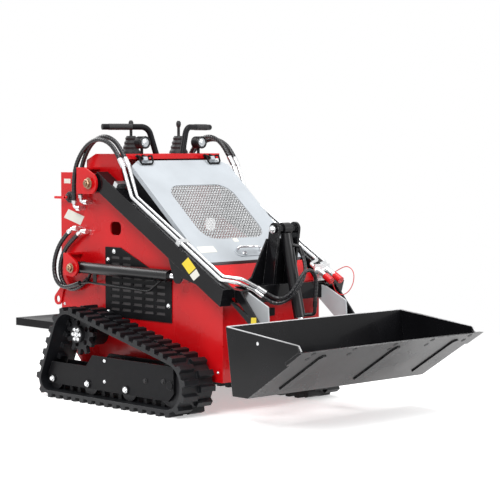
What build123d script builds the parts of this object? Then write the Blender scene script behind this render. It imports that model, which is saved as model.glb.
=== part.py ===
from build123d import *
import os
from math import acos, asin, atan2, cos, degrees, hypot, pi, radians, sin, tan

# Mini skid steer loader, in millimetres.
# +X points forward, +Y to the machine's left and +Z up. The tracks stand on z = 0.
# Places in the side view are pairs (x, z). A side of 1 is the left, -1 the right.

os.makedirs("parts", exist_ok=True)

# Machine body
plate = 8
body_half_width = 300
body_rear_x = -714
body_front_x = 436
belly_z = 146
belly_rear_x = -560
rear_sill_z = 300
rear_top_z = 1053
tower_rear_x = -514
tower_shoulder_z = 1113
tower_top_x = (-446, -280)
tower_top_z = 1143
tower_foot = (-225, 923)
deck_front_x = -232
deck_lip = 24
front_bend_z = 545
shelf_rear = (336, 655)
sheet = 6
rear_seam = 5
hatch_hole_at = (-301, 797)
hatch_hole_size = (80, 62)
hatch_hole_r = 24

# Tie-down rings at the rear
ring_at = (-735, 440)
ring_r = 28
ring_bore_r = 16.5
ring_plate = 8
ring_stem_at = (-700, 496)
ring_stem_r = 12

# Engine block on two rails
engine_x = (-130, 230)
engine_half_width = 190
engine_z = (250, 640)
engine_rail_y = (120, 160)

# Hood, hinged along its rear top edge
hood_rear = (-205, 1112)
hood_front = (322, 668)
hood_half_width = 302
hood_sheet = 4
hood_flange = 22
hood_corner_cut = (55, 36)
grille_half_width = 194
grille_down = (176, 543)
grille_radius = 80
hood_hinge_r = 7
hood_hinge_y = (170, 250)
hood_hinge_rise = 15
hood_knuckle = 24
hood_hinge_pin_r = 3.5
hood_hinge_ear = 6
hood_hinge_gap = 1
hood_hinge_foot = (1121, 1140)

# Grille of diagonal bars behind the hood's opening
mesh_rim = 12
mesh_sheet = 2
mesh_bar = 5
mesh_pitch = 20
mesh_angle = 45

# Inner panels of the engine bay
bay_seam = 6
bay_depth = (240, 70)

# Slotted guard panels on the body's sides
guard_x = (-372, 100)
guard_z = (385, 709)
guard_cut = [(-262, 709), (28, 592), (100, 592)]
guard_sheet = 5
slot_size = (62, 12)
slot_first = (-300, 422)
slot_pitch = (81, 30)
slot_margin = 10

# Undercarriage
track_inner_y = 325
track_outer_y = 505
track_links = 40
track_pitch = 60
sprocket_teeth = 11
belt_thickness = 14
neutral_depth = 7
lug_height = 19
lug_root = 34
lug_crest = 24
lug_middle_gap = 12
tooth_root = 27
tooth_crest = 17
tooth_height = 22
tooth_width = 40
rear_idler_at = (-560, 86)
sprocket_at = (-413, 304)
front_idler_z = 136
front_idler_tip_r = 136
wheel_gap = 0.3
wheel_half_width = 38
wheel_groove = 24
tooth_clearance = 4
roller_xs = (-298, -21)
axle_r = 15
axle_head_r = 19
axle_head = 6
sprocket_thickness = 22
sprocket_hub_r = 40
sprocket_hub_y = (372, 448)
sprocket_window_r = 13
sprocket_windows = 5
sprocket_window_at = 53
motor_r = 58
sprocket_tooth_root = 26
sprocket_tooth_tip = 16
sprocket_sunk = 8

# Track frames
frame_plate = 12
frame_outer_y = 470
frame_inner_y = 360
frame_x = (-596, 301)
frame_step_x = (-312, -267)
frame_rear_z = 166
frame_top_z = 220
frame_bottom_z = 64
frame_corner = 34
frame_rear_cut = (24, 48)
frame_arm_xs = (-200, 110)
frame_arm_size = (90, 60)
frame_arm_z = 180

# Lift arms and their mounts
arm_inner_y = 313
arm_outer_y = 377
arm_pivot = (-372, 1007)
arm_angle = -29.8
arm_below = 14
arm_above = 62
arm_eye_r = 46
arm_front_x = (500, 522)
cheek = 10
cheek_inner_y = 386
pivot_cheek_x = (-470, -412)
pivot_cheek_z = (957, 1080)
pivot_cheek_r = 50
pivot_pin_r = 20
lift_base = (-510, 607)
lift_cheek_x = (-575, -548)
lift_cheek_z = (572, 675)
lift_cheek_r = 42
lift_pin_r = 15
pin_head = 8
pin_clearance = 0.05
lift_y = 345
lift_eye = (222, 602)
lift_barrel_r = 27
lift_rod_shown = 85
lift_rod_r = 15
eye_r = 28
eye_width = 44
barrel_sunk = 4
ear = 8
ear_gap = 1
lift_ear_foot_x = (160, 352)
cross_beam_x = (448, 513)
cross_beam_z = (496, 570)
clamp_size = (26, 26)
clamp_at = (140, 640)

# Tilt tower, tilt cylinder, legs and quick hitch
tower_pin = (517, 815)
tower_pin_r = 15
tower_rib_y = (56, 68)
tower_boss_r = 30
tower_web = 8
tower_web_outline = [(148, 0), (168, 16), (140, 34), (73, 204)]
tower_spacer_r = 19
tilt_eye = (640, 310)
tilt_barrel_r = 26
tilt_rod_r = 14
tilt_rod_shown = 120
hitch_pivot = (620, 200)
hitch_pin_r = 15
hitch_plate = 12
hitch_half_width = 330
hitch_drop = (30, 270)
hitch_ear = 10
hitch_ear_gap = 3
hitch_boss_r = 32
hitch_ear_foot = 110
hitch_tilt_foot = (20, 130)

# Legs, from the cross beam's ends down to the hitch
leg_y = (238, 300)
leg_plate = 8
leg_top = [(448, 566), (546, 559)]
leg_front = (682, 408)
leg_rear = [(626, 399), (448, 529)]
leg_window = [(466, 528), (511, 527), (622, 436)]
leg_core_top = [(630, 396), (678, 404)]
leg_plate_front = [(538, 548), (662, 492), (668, 402), (650, 240)]
leg_plate_rear = [(592, 240), (617, 398)]
leg_tube_r = 15
leg_tube_ends = ((508, 552), (640, 347))
leg_shelf = 8

# Bucket
bucket_half_width = 545
bucket_side = 10
bucket_sheet = 8
bucket_top_rear = (721, 434)
bucket_heel = (762, 148)
bucket_toe = (853, 148)
bucket_tip = (1190, 367)
bucket_top_front = (1144, 390)
blade_half_width = 564.5
blade_depth = 110
blade_thickness = 14
blade_bevel = 22

# Standing platform
step_x = (-1190, -772)
step_half_width = 228
step_z = (272, 310)
step_wall = 5
step_hinge = (-752, 291)
step_hinge_r = 9
step_lug_y = (140, 160)
step_lug_r = 17
step_ear = 10
step_ear_gap = 2
step_mount_foot = 48

# Controls on the deck
boot_at = (-368, 149)
boot_r = (46, 24)
boot_height = 84
boot_ribs = 4
boot_rib = 7
stick_r = 7
stick_top_z = 1300
lamp_at = (-235, 177, 1196)
lamp_r = 29
lamp_depth = 42
lamp_post_r = 7
bar_r = 14
bar_rise = (126, 8)
bar_path = [(-264, 80), (-277, 120), (-352, 336)]
bar_bend_r = 48

# Hydraulic hoses and their fittings, on the right side and mirrored to the left
hose_d = 18
tilt_hose_d = 17
ferrule_r = 12
ferrule_length = 30
elbow_r = 8
fitting_r = 12.5
fitting_length = 24
stem_r = 10
elbow_reach = 30
elbow_bend_r = 9
upper_hose_outer = [
    (-569, -334, 922), (-566, -338, 975), (-557, -342, 1035), (-536, -346, 1092), (-490, -350, 1150),
    (-431, -353, 1192), (-362, -356, 1213), (-292, -358, 1204), (-231, -359, 1168), (-197, -359, 1121),
]
upper_hose_inner = [
    (-522, -331, 948), (-528, -331, 998), (-520, -330, 1060), (-497, -330, 1120), (-457, -329, 1176),
    (-403, -328, 1214), (-340, -327, 1227), (-276, -326, 1207), (-230, -326, 1168), (-198, -326, 1125),
]
lower_hose_outer = [
    (-611, -336, 768), (-650, -338, 737), (-686, -341, 694), (-709, -344, 642), (-714, -347, 586),
    (-694, -349, 534), (-647, -350, 507), (-590, -350, 509), (-536, -350, 524),
]
lower_hose_inner = [
    (-544, -330, 762), (-588, -328, 735), (-633, -326, 703), (-673, -324, 660), (-696, -323, 606),
    (-694, -322, 549), (-659, -321, 505), (-606, -320, 494), (-553, -320, 507), (-508, -320, 535),
]

wall_fittings = [
    # head's rear face, hose from it
    ((-545, -334, 885), upper_hose_outer),
    ((-493, -331, 915), upper_hose_inner),
    ((-570, -335, 789), lower_hose_outer),
    ((-500, -331, 777), lower_hose_inner),
]

# Hard tube and port under each lift cylinder, on the right side
hard_tube_r = 5
hard_tube = [(-440, -347, 540), (-12, -345, 523), (85, -345, 585)]
hard_tube_bend_r = 60
base_port = (-446, -331, 588)
port_bend_r = 14
tube_clip_x = (-412, -388)
tube_clip_z = (532, 582)
clip_plate = 4

# Hoses and ports of the tilt cylinder
tilt_hose_upper = [
    (545, -166, 527), (559, -143, 507), (584, -122, 494), (610, -95, 501), (629, -59, 532),
    (640, -26, 574), (643, 0, 620), (632, 13, 664), (607, 20, 702),
]
tilt_hose_lower = [
    (550, -150, 543), (565, -128, 526), (589, -110, 516), (618, -97, 522), (641, -80, 545), (656, -63, 581),
    (666, -48, 613), (672, -25, 639), (673, 13, 639), (670, 39, 611), (668, 46, 570), (665, 44, 534),
    (665, 42, 503),
]
tilt_ports = [
    # hose, port's centre in the barrel, distance from the hose's end to the elbow
    (tilt_hose_upper, (533, 0, 750), 44),
    (tilt_hose_lower, (609, 0, 438), 60),
]
tilt_port_bend_r = 14

# Pipes on the lift arms: from the body's hoses, along the arm's top, to the tilt hoses or the couplers
pipe_r = 8
pipe_bend_r = 26
pipe_ferrule = 46
front_ferrule = 44
front_ferrule_r = 10
arm_pipes = [
    # body's hose, bend at the arm's top, right: bends at the arm's end and tilt hose, left: bend, coupler's y
    (
        upper_hose_outer, (-111, -359, 947.4),
        [(488, -359, 604.4), (534, -300, 592)], tilt_hose_upper,
        (425, 359, 640.4), 300,
    ),
    (
        upper_hose_inner, (-111, -326, 947.4),
        [(466, -326, 617), (527, -270, 607)], tilt_hose_lower,
        (400, 326, 654.8), 238,
    ),
]

# Couplers for a powered tool, on the left end of the cross beam
coupler_start = (474, 627)
coupler_slope = -28
coupler_r = 13
coupler_length = 70
coupler_cap_r = 16
coupler_cap_length = 45
coupler_bracket_x = (484, 492)
coupler_bracket_y = (215, 312)
coupler_bracket_top = 645
coupler_lead = 34


def side_view(y):
    """Plane of the side view at a distance y to the left, with x forward and z up."""
    return Plane.XZ.offset(-y)


def face_y(side, inner, outer):
    """The y of the leftmost face of a piece that lies between two distances from the middle."""
    return outer if side > 0 else -inner


def heading(start, end):
    """Angle of the line between two points of the side view, in degrees."""
    return degrees(atan2(end[1] - start[1], end[0] - start[0]))


def along(start, angle, distance):
    """Point at a distance from another in a direction given in degrees."""
    return (start[0] + distance * cos(radians(angle)), start[1] + distance * sin(radians(angle)))


def save(piece, name):
    """Label a finished piece and write it."""
    piece.label = name
    export_step(piece, f"parts/{name}.step")


# Track geometry: the belt is a loop round three wheels, listed counter-clockwise in the side view
drive_r = sprocket_teeth * track_pitch / (2 * pi)
belt_base = lug_height + neutral_depth
rear_r = rear_idler_at[1] - belt_base
front_r = front_idler_tip_r - belt_base


def loop_runs(front_x):
    """Straight and curved runs of the belt's neutral line, for one place of the front idler."""
    wheels = [(*rear_idler_at, rear_r), (front_x, front_idler_z, front_r), (*sprocket_at, drive_r)]
    normals = []
    for (x0, z0, r0), (x1, z1, r1) in zip(wheels, wheels[1:] + wheels[:1]):
        line = atan2(z1 - z0, x1 - x0)
        normals.append(line - acos((r0 - r1) / hypot(x1 - x0, z1 - z0)))
    runs = []
    for number, (x, z, r) in enumerate(wheels):
        arrive = normals[number - 1]
        turn = (normals[number] - arrive) % (2 * pi)
        runs.append(("arc", (x, z), r, arrive, turn, r * turn))
        next_x, next_z, next_r = wheels[(number + 1) % 3]
        length = (hypot(next_x - x, next_z - z) ** 2 - (r - next_r) ** 2) ** 0.5
        runs.append(("line", (x, z), r, normals[number], 0, length))
    return runs


def tensioned_front_x():
    """Place of the front idler where the belt's length is a whole number of links."""
    low, high = 0, 600
    while high - low > 0.001:
        middle = (low + high) / 2
        if sum(run[5] for run in loop_runs(middle)) < track_links * track_pitch:
            low = middle
        else:
            high = middle
    return (low + high) / 2


front_idler_at = (tensioned_front_x(), front_idler_z)
belt_runs = loop_runs(front_idler_at[0])


def belt_place(distance, lift):
    """Point at a distance along the belt, lifted outwards from the neutral line, and its angle."""
    for kind, (x, z), r, normal, turn, length in belt_runs:
        if distance <= length:
            break
        distance -= length
    if kind == "arc":
        normal += distance / r
        slide = 0
    else:
        slide = distance
    reach = r + lift
    px = x + reach * cos(normal) - slide * sin(normal)
    pz = z + reach * sin(normal) + slide * cos(normal)
    return (px, pz), degrees(normal) - 90


def belt_outline(lift):
    """Closed outline of the belt at an offset from its neutral line."""
    with BuildLine() as outline:
        for kind, centre, r, normal, turn, length in belt_runs:
            if kind == "arc":
                CenterArc(centre, r + lift, degrees(normal), degrees(turn))
            else:
                start = (centre[0] + (r + lift) * cos(normal), centre[1] + (r + lift) * sin(normal))
                Line(start, (start[0] - length * sin(normal), start[1] + length * cos(normal)))
    return outline.line


def link_places(shift, lift):
    """One place for each link of the belt, with y pointing outwards."""
    places = []
    for number in range(track_links):
        (x, z), angle = belt_place((number + shift) * track_pitch, lift)
        places.append(Location((x, z, 0), (0, 0, angle)))
    return places


outer_lift = belt_thickness - neutral_depth
inner_lift = -neutral_depth
sunk = 2
belt_outside = belt_outline(outer_lift)
belt_inside = belt_outline(inner_lift)
lug_places = {"outer": link_places(0.25, outer_lift - sunk), "inner": link_places(0.75, outer_lift - sunk)}
tooth_places = link_places(0.5, inner_lift + sunk)


def lug_shape(root, crest, height):
    """Corners of a lug or tooth whose root is sunk into the belt."""
    return [(-root / 2, 0), (root / 2, 0), (crest / 2, height), (-crest / 2, height)]


def make_track(side):
    """Rubber track with two staggered rows of lugs outside and a row of drive teeth inside."""
    half = (track_outer_y - track_inner_y - lug_middle_gap) / 2
    middle_y = (track_outer_y + track_inner_y) / 2
    rows = [
        # row of lugs, inner y, outer y
        ("outer", track_outer_y - half, track_outer_y),
        ("inner", track_inner_y, track_inner_y + half),
        (None, track_inner_y + half, track_outer_y - half),
    ]
    with BuildPart() as track:
        for row, inner, outer in rows:
            with BuildSketch(side_view(face_y(side, inner, outer))):
                make_face(belt_outside.edges())
                make_face(belt_inside.edges(), mode=Mode.SUBTRACT)
                if row:
                    with Locations(*lug_places[row]):
                        Polygon(*lug_shape(lug_root, lug_crest, lug_height + sunk), align=None)
            extrude(amount=outer - inner)
        tooth_face = face_y(side, middle_y - tooth_width / 2, middle_y + tooth_width / 2)
        with BuildSketch(side_view(tooth_face)):
            with Locations(*tooth_places):
                Polygon(*lug_shape(tooth_root, tooth_crest, -tooth_height - sunk), align=None)
        extrude(amount=tooth_width)
        split(bisect_by=Plane.XY, keep=Keep.TOP)
    return track.part


def make_side_plate(side):
    """Side wall of the body, with the tower that carries the lift arm at its top."""
    inner = body_half_width - plate
    with BuildPart() as wall:
        with BuildSketch(side_view(face_y(side, inner, body_half_width))):
            Polygon(
                (belly_rear_x, belly_z),
                (body_front_x, belly_z),
                (body_front_x, front_bend_z),
                tower_foot,
                (tower_top_x[1], tower_top_z),
                (tower_top_x[0], tower_top_z),
                (tower_rear_x, tower_shoulder_z),
                (tower_rear_x, rear_top_z),
                (body_rear_x, rear_top_z),
                (body_rear_x, rear_sill_z),
                align=None,
            )
            with Locations(hatch_hole_at):
                RectangleRounded(*hatch_hole_size, hatch_hole_r, mode=Mode.SUBTRACT)
        extrude(amount=plate)
    return wall.part


def make_bent_sheet(path, thickness, half_width):
    """Folded sheet whose outer face follows a side view path, with its thickness on the left of it."""
    with BuildPart() as folded:
        with BuildSketch(side_view(half_width)):
            with BuildLine():
                Polyline(*path)
                offset(amount=thickness, side=Side.LEFT, kind=Kind.INTERSECTION)
            make_face()
        extrude(amount=2 * half_width)
    return folded.part


def make_engine():
    """Engine and pump as one block, on two rails that stand on the belly pan."""
    length = engine_x[1] - engine_x[0]
    middle_x = sum(engine_x) / 2
    with BuildPart() as engine:
        with BuildSketch(Plane.XY.offset(engine_z[0])):
            with Locations((middle_x, 0)):
                Rectangle(length, 2 * engine_half_width)
        extrude(amount=engine_z[1] - engine_z[0])
        with BuildSketch(Plane.XY.offset(belly_z + sheet)):
            for side in (-1, 1):
                with Locations((middle_x, side * sum(engine_rail_y) / 2)):
                    Rectangle(length, engine_rail_y[1] - engine_rail_y[0])
        extrude(amount=engine_z[0] - belly_z - sheet)
    return engine.part


# The hood's own plane: x to the machine's left, y up the slope, z out of the hood
hood_length = hypot(hood_front[0] - hood_rear[0], hood_front[1] - hood_rear[1])
hood_slope = heading(hood_rear, hood_front)
hood_normal = (sin(radians(-hood_slope)), 0, cos(radians(hood_slope)))
hood_plane = Plane(origin=(hood_rear[0], 0, hood_rear[1]), x_dir=(0, 1, 0), z_dir=hood_normal)
hood_hinge_at = along(hood_rear, hood_slope + 90, hood_hinge_rise)


def hood_outline():
    """Outline of the hood in its own plane, with clipped corners at its rear edge."""
    wide = hood_half_width
    cut_y, cut_down = hood_corner_cut
    return [
        (-wide, -hood_length),
        (wide, -hood_length),
        (wide, -cut_down),
        (wide - cut_y, 0),
        (cut_y - wide, 0),
        (-wide, -cut_down),
    ]


def make_hood():
    """Pressed hood with turned-down edges, a rounded grille opening and two hinge knuckles."""
    opening = (2 * grille_half_width, grille_down[1] - grille_down[0])
    with BuildPart() as hood:
        with BuildSketch(hood_plane):
            Polygon(*hood_outline(), align=None)
        extrude(amount=-hood_flange)
        with BuildSketch(hood_plane.offset(-hood_sheet)):
            offset(Polygon(*hood_outline(), align=None, mode=Mode.PRIVATE), amount=-hood_sheet)
        extrude(amount=-hood_flange, mode=Mode.SUBTRACT)
        with BuildSketch(hood_plane):
            with Locations((0, -sum(grille_down) / 2)):
                RectangleRounded(*opening, grille_radius)
        extrude(amount=-hood_sheet, mode=Mode.SUBTRACT)
        for side in (-1, 1):
            middle = side * sum(hood_hinge_y) / 2
            with BuildSketch(side_view(middle + hood_knuckle / 2)):
                with Locations(hood_hinge_at):
                    Circle(hood_hinge_r)
                with Locations(Location((*along(hood_rear, hood_slope, hood_hinge_r), 0), (0, 0, hood_slope))):
                    Rectangle(2 * hood_hinge_r, hood_hinge_rise, align=(Align.CENTER, Align.MIN))
                make_hull()
                with Locations(hood_hinge_at):
                    Circle(hood_hinge_pin_r + pin_clearance, mode=Mode.SUBTRACT)
            extrude(amount=hood_knuckle)
    return hood.part


def make_hood_hinges():
    """Pairs of ears on the deck's lip that hold the hood's knuckles on their pins."""
    reach = hood_knuckle / 2 + hood_hinge_gap
    with BuildPart() as hinges:
        for side in (-1, 1):
            middle = side * sum(hood_hinge_y) / 2
            for left in (middle + reach + hood_hinge_ear, middle - reach):
                with BuildSketch(side_view(left)):
                    with Locations(hood_hinge_at):
                        Circle(hood_hinge_r)
                    with Locations((deck_front_x + 1, sum(hood_hinge_foot) / 2)):
                        Rectangle(2, hood_hinge_foot[1] - hood_hinge_foot[0])
                    make_hull()
                extrude(amount=hood_hinge_ear)
            with BuildSketch(side_view(middle + reach + hood_hinge_ear)):
                with Locations(hood_hinge_at):
                    Circle(hood_hinge_pin_r)
            extrude(amount=2 * (reach + hood_hinge_ear))
    return hinges.part


def make_tie_down_rings():
    """Ring plates at the body's rear edge, one on each side wall."""
    with BuildPart() as rings:
        for side in (-1, 1):
            with BuildSketch(side_view(face_y(side, body_half_width, body_half_width + ring_plate))):
                with Locations(ring_at):
                    Circle(ring_r)
                with Locations(ring_stem_at):
                    Circle(ring_stem_r)
                make_hull()
                with Locations(ring_at):
                    Circle(ring_bore_r, mode=Mode.SUBTRACT)
            extrude(amount=ring_plate)
    return rings.part


def make_hood_mesh():
    """Grille of diagonal bars in a rim, behind the hood's opening."""
    length = grille_down[1] - grille_down[0] + 2 * mesh_rim
    width = 2 * (grille_half_width + mesh_rim)
    count = int((length + width) / mesh_pitch)
    with BuildPart() as mesh:
        with BuildSketch(hood_plane.offset(-hood_sheet)):
            with Locations((0, -sum(grille_down) / 2)):
                RectangleRounded(width, length, grille_radius + mesh_rim)
                RectangleRounded(
                    2 * grille_half_width, grille_down[1] - grille_down[0], grille_radius, mode=Mode.SUBTRACT
                )
        extrude(amount=-mesh_sheet)
        with BuildSketch(hood_plane.offset(-hood_sheet)):
            with Locations(Location((0, -sum(grille_down) / 2), (0, 0, mesh_angle))):
                with GridLocations(mesh_pitch, 0, count, 1):
                    Rectangle(mesh_bar, length + width)
            with Locations((0, -sum(grille_down) / 2)):
                RectangleRounded(width, length, grille_radius + mesh_rim, mode=Mode.INTERSECT)
        extrude(amount=-mesh_sheet)
    return mesh.part


def make_bay_frame():
    """Inner side panels that close the engine bay between the side plates and the hood."""
    drop = hood_flange + bay_seam
    rear = along(along(hood_rear, hood_slope, bay_seam), hood_slope - 90, drop)
    front = along(along(hood_front, hood_slope, -bay_seam), hood_slope - 90, drop)
    corners = [rear, front, (front[0], front[1] - bay_depth[1]), (rear[0], rear[1] - bay_depth[0])]
    with BuildPart() as frame:
        for side in (-1, 1):
            with BuildSketch(side_view(face_y(side, body_half_width - plate - sheet, body_half_width - plate))):
                Polygon(*corners, align=None)
            extrude(amount=sheet)
    return frame.part


def guard_slots():
    """Centres of the guard panels' slots that lie under the panel's sloping top edge."""
    (x0, z0), (x1, z1) = guard_cut[:2]
    centres = []
    for row in range(int((guard_z[1] - slot_first[1]) / slot_pitch[1])):
        for column in range(int((guard_x[1] - slot_first[0]) / slot_pitch[0]) + 1):
            x = slot_first[0] + column * slot_pitch[0]
            z = slot_first[1] + row * slot_pitch[1]
            corner_x = max(x + slot_size[0] / 2, x0)
            edge_z = max(z0 + (corner_x - x0) * (z1 - z0) / (x1 - x0), z1)
            if z + slot_size[1] / 2 + slot_margin < edge_z:
                centres.append((x, z))
    return centres


def make_side_grilles():
    """Slotted guard panels on the body's sides."""
    with BuildPart() as grilles:
        for side in (-1, 1):
            outer = body_half_width + guard_sheet
            with BuildSketch(side_view(face_y(side, body_half_width, outer))):
                Polygon(
                    (guard_x[0], guard_z[0]),
                    (guard_x[0], guard_z[1]),
                    *guard_cut,
                    (guard_x[1], guard_z[0]),
                    align=None,
                )
                with Locations(*guard_slots()):
                    Rectangle(*slot_size, mode=Mode.SUBTRACT)
            extrude(amount=guard_sheet)
    return grilles.part


def make_boom_mount(side):
    """Boxed brackets of one lift arm and its cylinder: a lobed cheek, a rear and a top wall, and a pin."""
    outer = cheek_inner_y + cheek
    mounts = [
        # pin centre, pin radius, lobe radius, x range and z range of the cheek
        (arm_pivot, pivot_pin_r, pivot_cheek_r, pivot_cheek_x, pivot_cheek_z),
        (lift_base, lift_pin_r, lift_cheek_r, lift_cheek_x, lift_cheek_z),
    ]
    with BuildPart() as mount:
        for pin_at, pin_r, lobe_r, cheek_x, cheek_z in mounts:
            with BuildSketch(side_view(face_y(side, cheek_inner_y, outer))):
                with Locations(pin_at):
                    Circle(lobe_r)
                with Locations((sum(cheek_x) / 2, sum(cheek_z) / 2)):
                    Rectangle(cheek_x[1] - cheek_x[0], cheek_z[1] - cheek_z[0])
                make_hull()
            extrude(amount=cheek)
            with BuildSketch(side_view(face_y(side, body_half_width, cheek_inner_y))):
                with Locations((cheek_x[0], cheek_z[0])):
                    Rectangle(cheek, cheek_z[1] - cheek_z[0], align=Align.MIN)
                with Locations((cheek_x[0], cheek_z[1] - cheek)):
                    Rectangle(cheek_x[1] - cheek_x[0], cheek, align=Align.MIN)
            extrude(amount=cheek_inner_y - body_half_width)
            with BuildSketch(side_view(face_y(side, body_half_width, outer + pin_head))):
                with Locations(pin_at):
                    Circle(pin_r)
            extrude(amount=outer + pin_head - body_half_width)
    return mount.part


def make_track_frame(side):
    """Two plates with spacers, held to the body by two arms, with the axles' heads outside."""
    left, right = frame_x
    outline = [
        (left, frame_bottom_z),
        (right - frame_corner, frame_bottom_z),
        (right, frame_bottom_z + frame_corner),
        (right, frame_top_z),
        (frame_step_x[1], frame_top_z),
        (frame_step_x[0], frame_rear_z),
        (left + frame_rear_cut[0], frame_rear_z),
        (left, frame_rear_z - frame_rear_cut[1]),
    ]
    inside = frame_inner_y + frame_plate
    outside = frame_outer_y - frame_plate
    axles = [rear_idler_at, *[(x, rear_idler_at[1]) for x in roller_xs], front_idler_at]
    with BuildPart() as frame:
        for inner in (frame_inner_y, outside):
            with BuildSketch(side_view(face_y(side, inner, inner + frame_plate))):
                Polygon(*outline, align=None)
            extrude(amount=frame_plate)
        with BuildSketch(side_view(face_y(side, inside, outside))):
            for x in frame_arm_xs:
                with Locations((x, frame_arm_z)):
                    Rectangle(frame_arm_size[0], frame_arm_size[1])
        extrude(amount=outside - inside)
        with BuildSketch(side_view(face_y(side, body_half_width, frame_inner_y))):
            for x in frame_arm_xs:
                with Locations((x, frame_arm_z)):
                    Rectangle(frame_arm_size[0], frame_arm_size[1])
        extrude(amount=frame_inner_y - body_half_width)
        with BuildSketch(side_view(face_y(side, frame_outer_y, frame_outer_y + axle_head))):
            with Locations(*axles):
                Circle(axle_head_r)
        extrude(amount=axle_head)
    return frame.part


def make_track_wheels(side):
    """Idlers and rollers, grooved for the belt's drive teeth, on axles between the frame's plates."""
    middle_y = (track_inner_y + track_outer_y) / 2
    groove = tooth_width / 2 + tooth_clearance
    half_axle = (frame_outer_y - frame_inner_y) / 2 - frame_plate
    wheels = [
        # centre, rim radius
        (rear_idler_at, rear_r + inner_lift - wheel_gap),
        ((roller_xs[0], rear_idler_at[1]), rear_r + inner_lift - wheel_gap),
        ((roller_xs[1], rear_idler_at[1]), rear_r + inner_lift - wheel_gap),
        (front_idler_at, front_r + inner_lift - wheel_gap),
    ]
    with BuildPart() as rollers:
        for (x, z), rim_r in wheels:
            with BuildSketch(Plane(origin=(x, side * middle_y, z), x_dir=(1, 0, 0), z_dir=(0, 0, 1))):
                with BuildLine():
                    Polyline(
                        (0, -half_axle),
                        (axle_r, -half_axle),
                        (axle_r, -wheel_half_width),
                        (rim_r, -wheel_half_width),
                        (rim_r, -groove),
                        (rim_r - wheel_groove, -groove),
                        (rim_r - wheel_groove, groove),
                        (rim_r, groove),
                        (rim_r, wheel_half_width),
                        (axle_r, wheel_half_width),
                        (axle_r, half_axle),
                        (0, half_axle),
                        close=True,
                    )
                make_face()
            revolve(axis=Axis((x, side * middle_y, z), (0, 1, 0)))
    return rollers.part


def first_tooth_angle():
    """Angle of the first drive tooth of the belt on the sprocket, in degrees."""
    before = sum(run[5] for run in belt_runs[:4])
    number = int(before / track_pitch + 0.5)
    while (number + 0.5) * track_pitch < before:
        number += 1
    return degrees(belt_runs[4][3] + ((number + 0.5) * track_pitch - before) / drive_r)


def make_drive_sprocket(side):
    """Sprocket whose teeth stand between the belt's drive teeth, with its hub and drive motor."""
    middle_y = (track_inner_y + track_outer_y) / 2
    tip_r = drive_r + inner_lift - wheel_gap
    root_r = tip_r - tooth_height - tooth_clearance
    foot, tip = sprocket_tooth_root / 2, sprocket_tooth_tip / 2
    foot_x, tip_x = root_r - sprocket_sunk, (tip_r ** 2 - tip ** 2) ** 0.5
    phase = first_tooth_angle() + 180 / sprocket_teeth
    with BuildPart() as sprocket:
        face = face_y(side, middle_y - sprocket_thickness / 2, middle_y + sprocket_thickness / 2)
        with BuildSketch(side_view(face)):
            with Locations(sprocket_at):
                Circle(root_r)
                with PolarLocations(0, sprocket_teeth, start_angle=phase):
                    Polygon((foot_x, -foot), (foot_x, foot), (tip_x, tip), (tip_x, -tip), align=None)
                with PolarLocations(sprocket_window_at, sprocket_windows, start_angle=phase):
                    Circle(sprocket_window_r, mode=Mode.SUBTRACT)
        extrude(amount=sprocket_thickness)
        with BuildSketch(side_view(face_y(side, *sprocket_hub_y))):
            with Locations(sprocket_at):
                Circle(sprocket_hub_r)
        extrude(amount=sprocket_hub_y[1] - sprocket_hub_y[0])
        with BuildSketch(side_view(face_y(side, body_half_width, sprocket_hub_y[0]))):
            with Locations(sprocket_at):
                Circle(motor_r)
        extrude(amount=sprocket_hub_y[0] - body_half_width)
    return sprocket.part


def make_boom_arm(side):
    """Lift arm of square tube with its pivot eye, and the two ears of the lift cylinder's rod."""
    normal = arm_angle + 90
    lower = along(arm_pivot, normal, -arm_below)
    upper = along(arm_pivot, normal, arm_above)
    slope = sin(radians(arm_angle)) / cos(radians(arm_angle))
    lower_front = (arm_front_x[0], lower[1] + (arm_front_x[0] - lower[0]) * slope)
    upper_front = (arm_front_x[1], upper[1] + (arm_front_x[1] - upper[0]) * slope)
    ear_foot = [(x, lower[1] + (x - lower[0]) * slope + 1) for x in lift_ear_foot_x]
    with BuildPart() as arm:
        with BuildSketch(side_view(face_y(side, arm_inner_y, arm_outer_y))):
            Polygon(lower, lower_front, upper_front, upper, align=None)
            with Locations(arm_pivot):
                Circle(arm_eye_r)
                Circle(pivot_pin_r + pin_clearance, mode=Mode.SUBTRACT)
        extrude(amount=arm_outer_y - arm_inner_y)
        inner = lift_y - eye_width / 2 - ear_gap - ear
        outer = lift_y + eye_width / 2 + ear_gap
        for near in (inner, outer):
            with BuildSketch(side_view(face_y(side, near, near + ear))):
                with BuildLine():
                    Polyline(ear_foot[0], (lift_eye[0] - eye_r, lift_eye[1]))
                    CenterArc(lift_eye, eye_r, 180, 180)
                    Polyline((lift_eye[0] + eye_r, lift_eye[1]), ear_foot[1], ear_foot[0])
                make_face()
            extrude(amount=ear)
    return arm.part


def make_cross_beam():
    """Square beam between the inner plates of the two legs, in front of the body."""
    with BuildPart() as beam:
        with BuildSketch(side_view(leg_y[0])):
            with Locations((cross_beam_x[0], cross_beam_z[0])):
                Rectangle(cross_beam_x[1] - cross_beam_x[0], cross_beam_z[1] - cross_beam_z[0], align=Align.MIN)
        extrude(amount=2 * leg_y[0])
    return beam.part


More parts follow.
